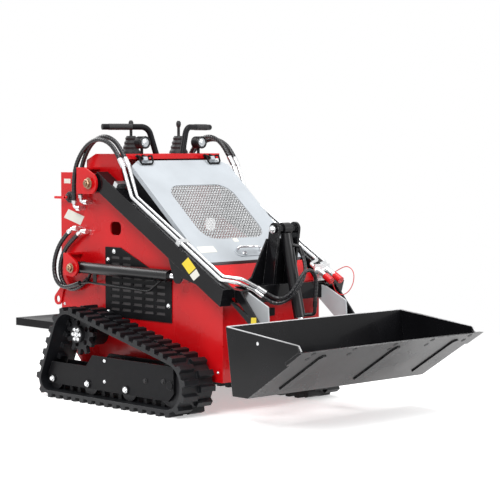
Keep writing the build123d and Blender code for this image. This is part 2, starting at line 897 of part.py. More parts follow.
def make_tilt_tower():
    """Two ribs and a rear web on the cross beam, with the tilt cylinder's upper pin and its spacers."""
    near, far = tower_rib_y
    rib = far - near
    spacer = eye_width / 2 + ear_gap
    foot = (cross_beam_x[0], cross_beam_z[1])
    reach = hypot(tower_pin[0] - foot[0], tower_pin[1] - foot[1])
    lean = heading(foot, tower_pin) + degrees(asin(tower_boss_r / reach))
    web_plane = Plane(
        origin=(foot[0], 0, foot[1]), x_dir=(0, -1, 0), z_dir=(-sin(radians(lean)), 0, cos(radians(lean)))
    )
    with BuildPart() as tower:
        for side in (-1, 1):
            with BuildSketch(side_view(face_y(side, near, far))):
                with Locations(tower_pin):
                    Circle(tower_boss_r)
                with Locations((sum(cross_beam_x) / 2, cross_beam_z[1])):
                    Rectangle(cross_beam_x[1] - cross_beam_x[0], 2, align=(Align.CENTER, Align.MIN))
                make_hull()
            extrude(amount=rib)
            with BuildSketch(side_view(face_y(side, spacer, near))):
                with Locations(tower_pin):
                    Circle(tower_spacer_r)
            extrude(amount=near - spacer)
        with BuildSketch(web_plane):
            Polygon(*tower_web_outline, *[(-wide, up) for wide, up in reversed(tower_web_outline)], align=None)
        extrude(amount=tower_web)
        with BuildSketch(side_view(far + pin_head)):
            with Locations(tower_pin):
                Circle(tower_pin_r)
        extrude(amount=2 * (far + pin_head))
    return tower.part


def make_boom_legs():
    """Outer plates of the legs with a window, a brace tube, a shelf to the arm and the hitch's boss."""
    outer_plate = leg_y[1] - leg_plate
    inner_plate = leg_y[0] + leg_plate
    with BuildPart() as legs:
        for side in (-1, 1):
            with BuildSketch(side_view(face_y(side, outer_plate, leg_y[1]))):
                Polygon(
                    *leg_top,
                    leg_front,
                    (hitch_pivot[0] + hitch_boss_r, hitch_pivot[1]),
                    (hitch_pivot[0] - hitch_boss_r, hitch_pivot[1]),
                    *leg_rear,
                    align=None,
                )
                Polygon(*leg_window, align=None, mode=Mode.SUBTRACT)
            extrude(amount=leg_plate)
            with BuildSketch(side_view(face_y(side, inner_plate, outer_plate))):
                Polygon(
                    *leg_core_top,
                    (hitch_pivot[0] + hitch_boss_r, hitch_pivot[1]),
                    (hitch_pivot[0] - hitch_boss_r, hitch_pivot[1]),
                    align=None,
                )
                Polygon(
                    *leg_top,
                    (leg_top[1][0], leg_top[1][1] - leg_shelf),
                    (leg_top[0][0], leg_top[0][1] - leg_shelf),
                    align=None,
                )
            extrude(amount=outer_plate - inner_plate)
            with BuildSketch(side_view(face_y(side, leg_y[1], arm_inner_y))):
                Polygon(leg_rear[1], leg_top[0], (cross_beam_x[1], leg_top[1][1]), leg_window[1], align=None)
            extrude(amount=arm_inner_y - leg_y[1])
            with BuildSketch(side_view(face_y(side, *leg_y))):
                with Locations(hitch_pivot):
                    Circle(hitch_boss_r)
            extrude(amount=leg_y[1] - leg_y[0])
            (x0, z0), (x1, z1) = leg_tube_ends
            with BuildSketch(Plane(origin=(x0, side * sum(leg_y) / 2, z0), z_dir=(x1 - x0, 0, z1 - z0))):
                Circle(leg_tube_r)
            extrude(amount=hypot(x1 - x0, z1 - z0))
            with BuildSketch(side_view(face_y(side, *leg_y))):
                with Locations(hitch_pivot):
                    Circle(hitch_pin_r + pin_clearance)
            extrude(amount=leg_y[1] - leg_y[0], mode=Mode.SUBTRACT)
    return legs.part


def make_leg_inner_plates():
    """Inner plates of the legs, which also hold the ends of the cross beam."""
    with BuildPart() as plates:
        for side in (-1, 1):
            with BuildSketch(side_view(face_y(side, leg_y[0], leg_y[0] + leg_plate))):
                Polygon(leg_top[0], *leg_plate_front, *leg_plate_rear, leg_rear[1], align=None)
            extrude(amount=leg_plate)
    return plates.part


def mirrored(points, side):
    """Points of a route on the right side, or the same route on the left."""
    return [Vector(x, -side * y, z) for x, y, z in points]


def make_hose(points, diameter, name):
    """Hose along straight runs joined by arcs, each as large as its two runs allow."""
    radii = []
    for before, corner, after in zip(points, points[1:], points[2:]):
        shorter = min((corner - before).length, (after - corner).length)
        turn = (corner - before).get_angle(after - corner)
        radii.append(0.45 * shorter / tan(radians(turn / 2)))
    with BuildPart() as hose:
        with BuildLine() as path:
            FilletPolyline(*points, radius=radii)
        with BuildSketch(Plane(origin=path.line @ 0, z_dir=path.line % 0)):
            Circle(diameter / 2)
        sweep(path=path.line)
    length = sum(edge.length for edge in path.line.edges())
    filled = hose.part.volume / (pi * diameter ** 2 / 4 * length)
    print(f"{name}: radii {[round(radius) for radius in radii]}, length {length:.0f}, volume ratio {filled:.4f}")
    return hose.part


def make_pipe(points, tube_r, bend_r):
    """Rigid pipe along a route with equal bends."""
    with BuildPart() as pipe:
        with BuildLine() as path:
            FilletPolyline(*points, radius=bend_r)
        with BuildSketch(Plane(origin=path.line @ 0, z_dir=path.line % 0)):
            Circle(tube_r)
        sweep(path=path.line)
    return pipe.part


def beyond(route, reach):
    """Point past the last one of a route, in line with its last run."""
    return route[-1] + (route[-1] - route[-2]).normalized() * reach


def make_ferrule(end, towards, radius, length):
    """Crimped sleeve from a hose's end towards the pipe that it joins."""
    with BuildPart() as ferrule:
        with BuildSketch(Plane(origin=end, z_dir=towards - end)):
            Circle(radius)
        extrude(amount=length)
    return ferrule.part


def make_hose_fittings():
    """Heads on the side walls, each with a stem, an elbow and a ferrule for its hose."""
    with BuildPart() as fittings:
        for side in (-1, 1):
            for head_at, route in wall_fittings:
                head = mirrored([head_at], side)[0]
                hose = mirrored(route, side)[::-1]
                corner = beyond(hose, elbow_reach)
                with BuildSketch(Plane(origin=head, z_dir=(1, 0, 0))):
                    Circle(fitting_r)
                extrude(amount=fitting_length)
                with Locations((head.X + fitting_length / 2, side * body_half_width, head.Z)):
                    Cylinder(
                        stem_r,
                        abs(head.Y) - body_half_width,
                        rotation=(90 * -side, 0, 0),
                        align=(Align.CENTER, Align.CENTER, Align.MIN),
                    )
                add(make_pipe([head, corner, hose[-1]], elbow_r, elbow_bend_r))
                add(make_ferrule(hose[-1], corner, ferrule_r, ferrule_length / 2))
    return fittings.part


def make_boom_pipes():
    """Pipes on the lift arms with their ferrules and clamps, down to the tilt hoses and the couplers."""
    normal = arm_angle + 90
    top = along(arm_pivot, normal, arm_above)
    with BuildPart() as pipes:
        for side in (-1, 1):
            for body_hose, arm_bend, right_bends, tilt_hose, left_bend, coupler_y in arm_pipes:
                rear = mirrored(body_hose, side)
                points = [rear[-1], beyond(rear, pipe_ferrule), *mirrored([arm_bend], side)]
                add(make_ferrule(points[0], points[1], ferrule_r, pipe_ferrule))
                if side < 0:
                    front = mirrored(tilt_hose, side)[::-1]
                    corner = beyond(front, front_ferrule)
                    points += [*mirrored(right_bends, side), corner, front[-1]]
                    add(make_ferrule(front[-1], corner, front_ferrule_r, front_ferrule))
                else:
                    lead = along(coupler_start, coupler_slope, -coupler_lead)
                    points.append(Vector(*left_bend))
                    points += [Vector(x, coupler_y, z) for x, z in (lead, coupler_start)]
                add(make_pipe(points, pipe_r, pipe_bend_r))
            for distance in clamp_at:
                x, z = along(top, arm_angle, distance)
                with BuildSketch(side_view(face_y(side, arm_inner_y + 3, arm_outer_y - 5))):
                    with Locations(Location((x, z, 0), (0, 0, arm_angle))):
                        Rectangle(*clamp_size, align=(Align.CENTER, Align.MIN))
                extrude(amount=arm_outer_y - arm_inner_y - 8)
    return pipes.part


def make_couplers():
    """Couplers for a powered tool, through a bracket on the cross beam's left end."""
    direction = (cos(radians(coupler_slope)), 0, sin(radians(coupler_slope)))
    bracket_x, bracket_y = coupler_bracket_x, coupler_bracket_y
    with BuildPart() as couplers:
        with BuildSketch(Plane.XY.offset(cross_beam_z[1])):
            with Locations((bracket_x[0], bracket_y[0])):
                Rectangle(bracket_x[1] - bracket_x[0], bracket_y[1] - bracket_y[0], align=Align.MIN)
        extrude(amount=coupler_bracket_top - cross_beam_z[1])
        for y in [row[5] for row in arm_pipes]:
            with BuildSketch(Plane(origin=(coupler_start[0], y, coupler_start[1]), z_dir=direction)):
                Circle(coupler_r)
            extrude(amount=coupler_length)
    return couplers.part


def make_coupler_caps():
    """Dust caps on the couplers."""
    direction = (cos(radians(coupler_slope)), 0, sin(radians(coupler_slope)))
    x, z = along(coupler_start, coupler_slope, coupler_length)
    with BuildPart() as caps:
        for y in [row[5] for row in arm_pipes]:
            with BuildSketch(Plane(origin=(x, y, z), z_dir=direction)):
                Circle(coupler_cap_r)
            extrude(amount=coupler_cap_length)
    return caps.part


def make_lift_barrel(side):
    """Lift cylinder's barrel with its hard tube, its clip and the ports of both hoses."""
    tube_hose = mirrored(lower_hose_outer, side)
    port_hose = mirrored(lower_hose_inner, side)
    tube = [tube_hose[-1], beyond(tube_hose, ferrule_length), *mirrored(hard_tube, side)]
    port = [port_hose[-1], beyond(port_hose, ferrule_length), *mirrored([base_port], side)]
    with BuildPart() as barrel:
        add(make_barrel(lift_base, lift_eye, side * lift_y, lift_barrel_r, lift_rod_shown, lift_pin_r))
        for route, route_r, bend_r in ((tube, hard_tube_r, hard_tube_bend_r), (port, elbow_r, port_bend_r)):
            add(make_pipe(route, route_r, bend_r))
            add(make_ferrule(route[0], route[1], ferrule_r, ferrule_length))
        with BuildSketch(side_view(face_y(side, lift_y - clip_plate / 2, lift_y + clip_plate / 2))):
            with Locations((tube_clip_x[0], tube_clip_z[0])):
                Rectangle(tube_clip_x[1] - tube_clip_x[0], tube_clip_z[1] - tube_clip_z[0], align=Align.MIN)
        extrude(amount=clip_plate)
    return barrel.part


def make_tilt_barrel():
    """Tilt cylinder's barrel with an elbow and a ferrule at each of its two ports."""
    with BuildPart() as barrel:
        add(make_barrel(tower_pin, tilt_eye, 0, tilt_barrel_r, tilt_rod_shown, tower_pin_r))
        for route, port_at, reach in tilt_ports:
            hose = mirrored(route, -1)
            corner = beyond(hose, reach)
            add(make_pipe([hose[-1], corner, Vector(*port_at)], elbow_r, tilt_port_bend_r))
            add(make_ferrule(hose[-1], corner, front_ferrule_r, ferrule_length))
    return barrel.part


def make_barrel(base, tip, y, barrel_r, rod_shown, pin_r):
    """Barrel of a hydraulic cylinder with its base eye, centred on a distance y to the left."""
    angle = heading(base, tip)
    start = along(base, angle, eye_r - barrel_sunk)
    direction = (cos(radians(angle)), 0, sin(radians(angle)))
    length = hypot(tip[0] - base[0], tip[1] - base[1]) - rod_shown
    with BuildPart() as barrel:
        with BuildSketch(side_view(y + eye_width / 2)):
            with Locations(base):
                Circle(eye_r)
        extrude(amount=eye_width)
        with BuildSketch(Plane(origin=(start[0], y, start[1]), z_dir=direction)):
            Circle(barrel_r)
        extrude(amount=length - eye_r + barrel_sunk)
        with BuildSketch(side_view(y + eye_width / 2)):
            with Locations(base):
                Circle(pin_r + pin_clearance)
        extrude(amount=eye_width, mode=Mode.SUBTRACT)
    return barrel.part


def make_rod(base, tip, y, rod_r, rod_shown):
    """Rod of a hydraulic cylinder from its barrel's mouth to its eye, with the eye's pin in it."""
    angle = heading(base, tip)
    start = along(tip, angle, -rod_shown)
    direction = (cos(radians(angle)), 0, sin(radians(angle)))
    with BuildPart() as rod:
        with BuildSketch(Plane(origin=(start[0], y, start[1]), z_dir=direction)):
            Circle(rod_r)
        extrude(amount=rod_shown)
        with BuildSketch(side_view(y + eye_width / 2)):
            with Locations(tip):
                Circle(eye_r)
        extrude(amount=eye_width)
    return rod.part


def make_hitch():
    """Quick hitch plate on the bucket's back, with the ears and pins of the legs and the tilt rod."""
    back = heading(bucket_top_rear, bucket_heel)
    top = along(bucket_top_rear, back, hitch_drop[0])
    bottom = along(bucket_top_rear, back, hitch_drop[1])
    behind = back - 90
    rear_top = along(top, behind, hitch_plate)
    rear_bottom = along(bottom, behind, hitch_plate)
    ear_top = along(rear_bottom, back + 180, hitch_ear_foot)
    tilt_top = along(rear_top, back, hitch_tilt_foot[0])
    tilt_bottom = along(rear_top, back, hitch_tilt_foot[1])
    leg_near = leg_y[0] - hitch_ear_gap - hitch_ear
    leg_far = leg_y[1] + hitch_ear_gap
    tilt_near = eye_width / 2 + hitch_ear_gap
    with BuildPart() as hitch:
        with BuildSketch(side_view(hitch_half_width)):
            Polygon(top, bottom, rear_bottom, rear_top, align=None)
        extrude(amount=2 * hitch_half_width)
        for side in (-1, 1):
            for near in (leg_near, leg_far):
                with BuildSketch(side_view(face_y(side, near, near + hitch_ear))):
                    Polygon(
                        rear_bottom,
                        ear_top,
                        (hitch_pivot[0], hitch_pivot[1] + hitch_boss_r),
                        (hitch_pivot[0], hitch_pivot[1] - hitch_boss_r),
                        align=None,
                    )
                    with Locations(hitch_pivot):
                        Circle(hitch_boss_r)
                extrude(amount=hitch_ear)
            with BuildSketch(side_view(face_y(side, leg_near, leg_far + hitch_ear))):
                with Locations(hitch_pivot):
                    Circle(hitch_pin_r)
            extrude(amount=leg_far + hitch_ear - leg_near)
            with BuildSketch(side_view(face_y(side, tilt_near, tilt_near + hitch_ear))):
                Polygon(
                    tilt_bottom,
                    tilt_top,
                    (tilt_eye[0], tilt_eye[1] + eye_r),
                    (tilt_eye[0], tilt_eye[1] - eye_r),
                    align=None,
                )
                with Locations(tilt_eye):
                    Circle(eye_r)
            extrude(amount=hitch_ear)
    return hitch.part


floor_angle = heading(bucket_toe, bucket_tip)
floor_length = hypot(bucket_tip[0] - bucket_toe[0], bucket_tip[1] - bucket_toe[1])
blade_rear = along(bucket_toe, floor_angle, floor_length - blade_depth)


def make_bucket_shell():
    """Folded back and floor of the bucket with its cutting blade."""
    inner_half = bucket_half_width - bucket_side
    rise = floor_angle + 90
    with BuildPart() as shell:
        with BuildSketch(side_view(inner_half)):
            with BuildLine():
                Polyline(bucket_top_rear, bucket_heel, bucket_toe, blade_rear)
                offset(amount=bucket_sheet, side=Side.LEFT, kind=Kind.INTERSECTION)
            make_face()
        extrude(amount=2 * inner_half)
        with BuildSketch(side_view(blade_half_width)):
            Polygon(
                blade_rear,
                bucket_tip,
                along(along(bucket_tip, floor_angle, -blade_bevel), rise, blade_thickness),
                along(blade_rear, rise, blade_thickness),
                align=None,
            )
        extrude(amount=2 * blade_half_width)
    return shell.part


def make_bucket_sides():
    """Side plates of the bucket, seated on the blade."""
    rise = floor_angle + 90
    with BuildPart() as sides:
        for side in (-1, 1):
            with BuildSketch(side_view(face_y(side, bucket_half_width - bucket_side, bucket_half_width))):
                Polygon(
                    bucket_top_rear,
                    bucket_heel,
                    bucket_toe,
                    blade_rear,
                    along(blade_rear, rise, blade_thickness),
                    along(along(bucket_tip, floor_angle, -blade_bevel - 14), rise, blade_thickness),
                    bucket_top_front,
                    align=None,
                )
            extrude(amount=bucket_side)
    return sides.part


def make_step():
    """Standing platform of folded sheet, open below, with two hinge lugs."""
    length = step_x[1] - step_x[0]
    height = step_z[1] - step_z[0]
    with BuildPart() as step:
        with BuildSketch(Plane.XY.offset(step_z[0])):
            with Locations((sum(step_x) / 2, 0)):
                Rectangle(length, 2 * step_half_width)
        extrude(amount=height)
        with BuildSketch(Plane.XY.offset(step_z[0])):
            with Locations((sum(step_x) / 2, 0)):
                Rectangle(length - 2 * step_wall, 2 * (step_half_width - step_wall))
        extrude(amount=height - step_wall, mode=Mode.SUBTRACT)
        for side in (-1, 1):
            with BuildSketch(side_view(face_y(side, *step_lug_y))):
                with Locations(step_hinge):
                    Circle(step_lug_r)
                with Locations((step_x[1] + 1, step_hinge[1])):
                    Rectangle(2, 2 * step_lug_r)
                make_hull()
                with Locations(step_hinge):
                    Circle(step_hinge_r + pin_clearance, mode=Mode.SUBTRACT)
            extrude(amount=step_lug_y[1] - step_lug_y[0])
    return step.part


def make_step_mount():
    """Ears and pins on the belly's rear slope that carry the platform."""
    sill = (body_rear_x, rear_sill_z)
    slope_foot = along(sill, heading(sill, (belly_rear_x, belly_z)), step_mount_foot)
    with BuildPart() as mount:
        for side in (-1, 1):
            near = step_lug_y[0] - step_ear_gap - step_ear
            far = step_lug_y[1] + step_ear_gap
            for inner in (near, far):
                with BuildSketch(side_view(face_y(side, inner, inner + step_ear))):
                    with Locations(step_hinge):
                        Circle(step_lug_r)
                    Polygon(sill, slope_foot, step_hinge, align=None)
                    make_hull()
                extrude(amount=step_ear)
            with BuildSketch(side_view(face_y(side, near, far + step_ear))):
                with Locations(step_hinge):
                    Circle(step_hinge_r)
            extrude(amount=far + step_ear - near)
    return mount.part


def make_joysticks():
    """Ribbed rubber boots and sticks of the two controls."""
    step_up = boot_height / boot_ribs
    profile = [(0, 0), (boot_r[0], 0)]
    for rib in range(boot_ribs):
        r = boot_r[0] + (boot_r[1] - boot_r[0]) * (rib + 1) / boot_ribs
        profile.append((r + boot_rib / 2, (rib + 0.5) * step_up))
        profile.append((r - boot_rib / 2, (rib + 1) * step_up))
    profile.append((0, boot_height))
    with BuildPart() as sticks:
        for side in (-1, 1):
            x, y = boot_at
            boot_plane = Plane(origin=(x, side * y, tower_top_z), x_dir=(1, 0, 0), z_dir=(0, -1, 0))
            with BuildSketch(boot_plane):
                Polygon(*profile, align=None)
            revolve(axis=Axis((x, side * y, tower_top_z), (0, 0, 1)))
            with Locations((x, side * y, tower_top_z)):
                Cylinder(stick_r, stick_top_z - tower_top_z, align=(Align.CENTER, Align.CENTER, Align.MIN))
    return sticks.part


def make_work_lamps():
    """Round work lamps on short posts."""
    with BuildPart() as lamps:
        for side in (-1, 1):
            x, y, z = lamp_at
            with BuildSketch(Plane(origin=(x, side * y, z), z_dir=(1, 0, 0))):
                Circle(lamp_r)
            extrude(amount=-lamp_depth)
            with BuildSketch(Plane.XY.offset(tower_top_z)):
                with Locations((x - lamp_depth / 2, side * y)):
                    Circle(lamp_post_r)
            extrude(amount=z - tower_top_z)
    return lamps.part


def make_hand_bars():
    """Bent tube handles beside the controls."""
    with BuildPart() as bars:
        for side in (-1, 1):
            rises = (-bar_rise[1], bar_rise[0], bar_rise[0])
            points = [Vector(x, side * y, tower_top_z + rise) for (x, y), rise in zip(bar_path, rises)]
            with BuildLine() as path:
                FilletPolyline(*points, radius=bar_bend_r)
            with BuildSketch(Plane(origin=path.line @ 0, z_dir=path.line % 0)):
                Circle(bar_r)
            sweep(path=path.line)
        split(bisect_by=Plane.XY.offset(tower_top_z), keep=Keep.TOP)
    return bars.part


inside_half = body_half_width - plate
belly_path = [(body_rear_x, rear_sill_z), (belly_rear_x, belly_z), (body_front_x - sheet, belly_z)]
front_path = [(body_front_x, belly_z), (body_front_x, front_bend_z), shelf_rear]
deck_path = [
    (deck_front_x, tower_top_z - deck_lip),
    (deck_front_x, tower_top_z),
    (tower_top_x[0], tower_top_z),
    (tower_rear_x, tower_shoulder_z),
    (tower_rear_x, rear_top_z),
    (body_rear_x, rear_top_z),
]
rear_path = [(body_rear_x, rear_top_z - sheet), (body_rear_x, rear_sill_z + rear_seam)]

for side, word in ((-1, "right"), (1, "left")):
    save(make_track(side), f"track_{word}")
    save(make_track_frame(side), f"track_frame_{word}")
    save(make_track_wheels(side), f"track_wheels_{word}")
    save(make_drive_sprocket(side), f"drive_sprocket_{word}")
    save(make_side_plate(side), f"side_plate_{word}")
    save(make_boom_mount(side), f"boom_mount_{word}")
    save(make_boom_arm(side), f"boom_arm_{word}")
    save(make_lift_barrel(side), f"lift_barrel_{word}")
    save(make_rod(lift_base, lift_eye, side * lift_y, lift_rod_r, lift_rod_shown), f"lift_rod_{word}")
    for name, route in (
        ("upper_hose_outer", upper_hose_outer),
        ("upper_hose_inner", upper_hose_inner),
        ("lower_hose_outer", lower_hose_outer),
        ("lower_hose_inner", lower_hose_inner),
    ):
        save(make_hose(mirrored(route, side), hose_d, f"{name}_{word}"), f"{name}_{word}")
save(make_bent_sheet(belly_path, sheet, inside_half), "belly_pan")
save(make_bent_sheet(front_path, sheet, inside_half), "front_panel")
save(make_bent_sheet(deck_path, sheet, inside_half), "top_deck")
save(make_bent_sheet(rear_path, sheet, inside_half), "rear_panel")
save(make_engine(), "engine_block")
save(make_hood(), "hood")
save(make_hood_mesh(), "hood_mesh")
save(make_hood_hinges(), "hood_hinges")
save(make_tie_down_rings(), "tie_down_rings")
save(make_bay_frame(), "bay_frame")
save(make_side_grilles(), "side_grilles")
save(make_cross_beam(), "cross_beam")
save(make_tilt_tower(), "tilt_tower")
save(make_boom_legs(), "boom_legs")
save(make_leg_inner_plates(), "leg_inner_plates")
save(make_boom_pipes(), "boom_pipes")
save(make_couplers(), "aux_couplers")
save(make_coupler_caps(), "coupler_caps")
save(make_hose_fittings(), "hose_fittings")
for name, route in (("tilt_hose_upper", tilt_hose_upper), ("tilt_hose_lower", tilt_hose_lower)):
    save(make_hose([Vector(*point) for point in route], tilt_hose_d, name), name)
save(make_tilt_barrel(), "tilt_barrel")
save(make_rod(tower_pin, tilt_eye, 0, tilt_rod_r, tilt_rod_shown), "tilt_rod")
save(make_hitch(), "hitch_plate")
save(make_bucket_shell(), "bucket_shell")
save(make_bucket_sides(), "bucket_sides")
save(make_step(), "step_platform")
save(make_step_mount(), "step_mount")
save(make_joysticks(), "joysticks")
save(make_work_lamps(), "work_lamps")
save(make_hand_bars(), "hand_bars")
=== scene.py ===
# Mini skid steer loader, dressed for rendering.
# Metres, +X forward, +Y to the machine's left, +Z up.
import bpy
from math import cos, hypot, pi, radians, sin
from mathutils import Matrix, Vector


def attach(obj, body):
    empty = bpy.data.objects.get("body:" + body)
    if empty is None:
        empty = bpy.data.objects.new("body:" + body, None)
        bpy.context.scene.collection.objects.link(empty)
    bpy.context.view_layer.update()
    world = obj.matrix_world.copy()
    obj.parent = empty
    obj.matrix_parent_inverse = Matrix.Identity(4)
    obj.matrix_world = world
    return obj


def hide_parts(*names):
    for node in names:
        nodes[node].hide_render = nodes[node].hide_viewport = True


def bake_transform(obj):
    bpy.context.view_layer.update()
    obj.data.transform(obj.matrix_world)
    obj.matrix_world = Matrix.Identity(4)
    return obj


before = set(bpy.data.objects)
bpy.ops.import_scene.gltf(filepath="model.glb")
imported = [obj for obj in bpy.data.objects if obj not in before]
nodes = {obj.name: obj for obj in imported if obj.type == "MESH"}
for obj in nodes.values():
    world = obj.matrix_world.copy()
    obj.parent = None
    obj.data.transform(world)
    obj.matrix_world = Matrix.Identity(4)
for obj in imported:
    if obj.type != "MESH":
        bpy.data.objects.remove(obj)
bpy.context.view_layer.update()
scene = bpy.context.scene

forward = Vector((1, 0, 0))
left = Vector((0, 1, 0))
upward = Vector((0, 0, 1))
sides = ((-1, "right"), (1, "left"))  # sign of y, word in the names of pieces

# The photograph's viewpoint
photo_width = 500  # pixels
focal_length = 1760.24  # pixels
camera_azimuth = radians(46.542)
camera_down = radians(3.644)
camera_at = Vector((6.0675, -5.4727, 1.2174))
camera_sensor = 36  # millimetres
camera_lens = camera_sensor * focal_length / photo_width


def make_camera():
    """Camera at the photograph's place, level from side to side."""
    data = bpy.data.cameras.new("camera")
    data.sensor_width = camera_sensor
    data.lens = camera_lens
    camera = bpy.data.objects.new("camera", data)
    scene.collection.objects.link(camera)
    look = Vector((
        -sin(camera_azimuth) * cos(camera_down),
        cos(camera_azimuth) * cos(camera_down),
        -sin(camera_down),
    ))
    camera.location = camera_at
    camera.rotation_euler = look.to_track_quat("-Z", "Y").to_euler()
    scene.camera = camera


make_camera()

# Soft lights round the object
light_target = Vector((0, 0, 0.6))
lights = [
    # name, place, size, power
    ("key", (3.5, -5.5, 5.5), 3.0, 420),
    ("front", (6.5, 2.5, 3.2), 3.5, 230),
    ("back", (-5.0, -1.0, 4.0), 3.0, 160),
    ("top", (0.5, 0, 6.0), 3.0, 180),
]


def make_light(name, place, size, power):
    """Square area light that faces the object."""
    data = bpy.data.lights.new(name, "AREA")
    data.size = size
    data.energy = power
    light = bpy.data.objects.new(name, data)
    scene.collection.objects.link(light)
    light.location = place
    light.rotation_euler = (light_target - Vector(place)).to_track_quat("-Z", "Y").to_euler()


for name, place, size, power in lights:
    make_light(name, place, size, power)


# Shader nodes
def feed(tree, node, inputs):
    """Give a node's inputs their constants, or their links from other nodes' outputs."""
    for socket, value in inputs.items():
        if isinstance(value, bpy.types.NodeSocket):
            tree.links.new(value, node.inputs[socket])
        else:
            node.inputs[socket].default_value = value


def add_node(tree, kind, inputs=None, operation=None):
    """Node of a kind with its inputs, and with its operation where that kind has several."""
    node = tree.nodes.new(kind)
    if operation:
        node.operation = operation
    feed(tree, node, inputs or {})
    return node


def seen_rays(tree):
    """1 for rays from the camera, from a reflection or through glass."""
    path = add_node(tree, "ShaderNodeLightPath")
    result = path.outputs["Is Camera Ray"]
    for ray in ("Is Glossy Ray", "Is Transmission Ray"):
        either = add_node(tree, "ShaderNodeMath", {0: result, 1: path.outputs[ray]}, "MAXIMUM")
        result = either.outputs["Value"]
    return result


# Surroundings
white = (1, 1, 1, 1)
soft_light = 0.4
floor_r = 7
floor_fade = (1.6, 3.4)  # distances from the middle
floor_colour = (0.95, 0.95, 0.95, 1)
floor_glow = 0.45


def make_world():
    """Pale surroundings that light the object softly and show white behind it."""
    world = bpy.data.worlds.new("studio")
    world.use_nodes = True
    tree = world.node_tree
    tree.nodes.clear()
    soft = add_node(tree, "ShaderNodeBackground", {"Color": white, "Strength": soft_light})
    seen = add_node(tree, "ShaderNodeBackground", {"Color": white})
    mix = add_node(tree, "ShaderNodeMixShader", {
        "Fac": seen_rays(tree), 1: soft.outputs["Background"], 2: seen.outputs["Background"],
    })
    add_node(tree, "ShaderNodeOutputWorld", {"Surface": mix.outputs["Shader"]})
    scene.world = world


def make_floor():
    """White floor with the object's shadow, which fades into the white surroundings."""
    bpy.ops.mesh.primitive_circle_add(vertices=64, radius=floor_r, fill_type="NGON")
    floor = bpy.context.object
    floor.name = "floor"
    material = bpy.data.materials.new("floor")
    material.use_nodes = True
    tree = material.node_tree
    tree.nodes.clear()
    matt = add_node(tree, "ShaderNodeBsdfDiffuse", {"Color": floor_colour})
    glow = add_node(tree, "ShaderNodeEmission", {"Strength": floor_glow})
    dark = add_node(tree, "ShaderNodeEmission", {"Strength": 0})
    lift = add_node(tree, "ShaderNodeMixShader", {
        "Fac": seen_rays(tree), 1: dark.outputs["Emission"], 2: glow.outputs["Emission"],
    })
    lit = add_node(tree, "ShaderNodeAddShader", {
        0: matt.outputs["BSDF"], 1: lift.outputs["Shader"],
    })
    clear = add_node(tree, "ShaderNodeBsdfTransparent")
    place = add_node(tree, "ShaderNodeTexCoord")
    reach = add_node(tree, "ShaderNodeVectorMath", {0: place.outputs["Object"]}, "LENGTH")
    fade = add_node(tree, "ShaderNodeMapRange", {
        "Value": reach.outputs["Value"], "From Min": floor_fade[0], "From Max": floor_fade[1],
    })
    fade.interpolation_type = "SMOOTHSTEP"
    mix = add_node(tree, "ShaderNodeMixShader", {
        "Fac": fade.outputs["Result"], 1: lit.outputs["Shader"], 2: clear.outputs["BSDF"],
    })
    add_node(tree, "ShaderNodeOutputMaterial", {"Surface": mix.outputs["Shader"]})
    floor.data.materials.append(material)


make_world()
scene.view_settings.view_transform = "Standard"
make_floor()

# Materials. A noise's scale and detail come in pairs.
patches = (5, 5)
clouds = (28, 6)
edge_noise = (70, 4)
grain_detail = 2
noise_range = (0.3, 0.7)
gloss_range = (0.8, 1.25)
coat_rough = 0.08
bump_distance = 0.002
bevel_samples = 4
dust_slope = -0.4  # upright part of the normal where dust begins
dust_least = 0.2
dust_colour = (0.36, 0.36, 0.38, 1)
edge_turn = (0.99, 0.90)  # cosines between the true and the rounded normal at an edge that gets wear and a painted highlight
mix_amount, mix_first, mix_second, mix_result = 0, 6, 7, 2  # sockets of the Mix node for colours


def noise(tree, place, scale, detail):
    """Value of a noise texture in the object's own metres."""
    texture = add_node(tree, "ShaderNodeTexNoise", {
        "Vector": place.outputs["Object"], "Scale": scale, "Detail": detail,
    })
    return texture.outputs["Fac"]


def ranged(tree, value, start, end, low=0, high=1):
    """Value that goes from low to high while another one goes from start to end."""
    change = add_node(tree, "ShaderNodeMapRange", {
        "Value": value, "From Min": start, "From Max": end, "To Min": low, "To Max": high,
    })
    return change.outputs["Result"]


def mix_colours(tree, amount, first, second):
    """Colour mixed from two, each of them a constant or an output."""
    mix = tree.nodes.new("ShaderNodeMix")
    mix.data_type = "RGBA"
    feed(tree, mix, {mix_amount: amount, mix_first: first, mix_second: second})
    return mix.outputs[mix_result]


def product(tree, first, second):
    """Two values multiplied."""
    times = add_node(tree, "ShaderNodeMath", {0: first, 1: second}, "MULTIPLY")
    return times.outputs["Value"]


def dusted(tree, place, facing, colour, dust):
    """Colour under uneven dust on what faces up."""
    normal = add_node(tree, "ShaderNodeSeparateXYZ", {"Vector": facing.outputs["Normal"]})
    amount = ranged(tree, normal.outputs["Z"], dust_slope, 1, 0, dust)
    uneven = ranged(tree, noise(tree, place, *clouds), *noise_range, dust_least, 1)
    return mix_colours(tree, product(tree, amount, uneven), colour, dust_colour)


def rubbed_and_highlit(tree, place, facing, soft, colour, edge_wear_and_highlight, edge_wear_and_highlight_colour):
    """Colour changed unevenly along the edges: wear, and a painted highlight where the edge colour
    is lighter.
    """
    turn = add_node(tree, "ShaderNodeVectorMath", {
        0: soft.outputs["Normal"], 1: facing.outputs["Normal"],
    }, "DOT_PRODUCT")
    rim = ranged(tree, turn.outputs["Value"], *edge_turn)
    uneven = ranged(tree, noise(tree, place, *edge_noise), *noise_range, 0, edge_wear_and_highlight)
    return mix_colours(tree, product(tree, rim, uneven), colour, (*edge_wear_and_highlight_colour, 1))


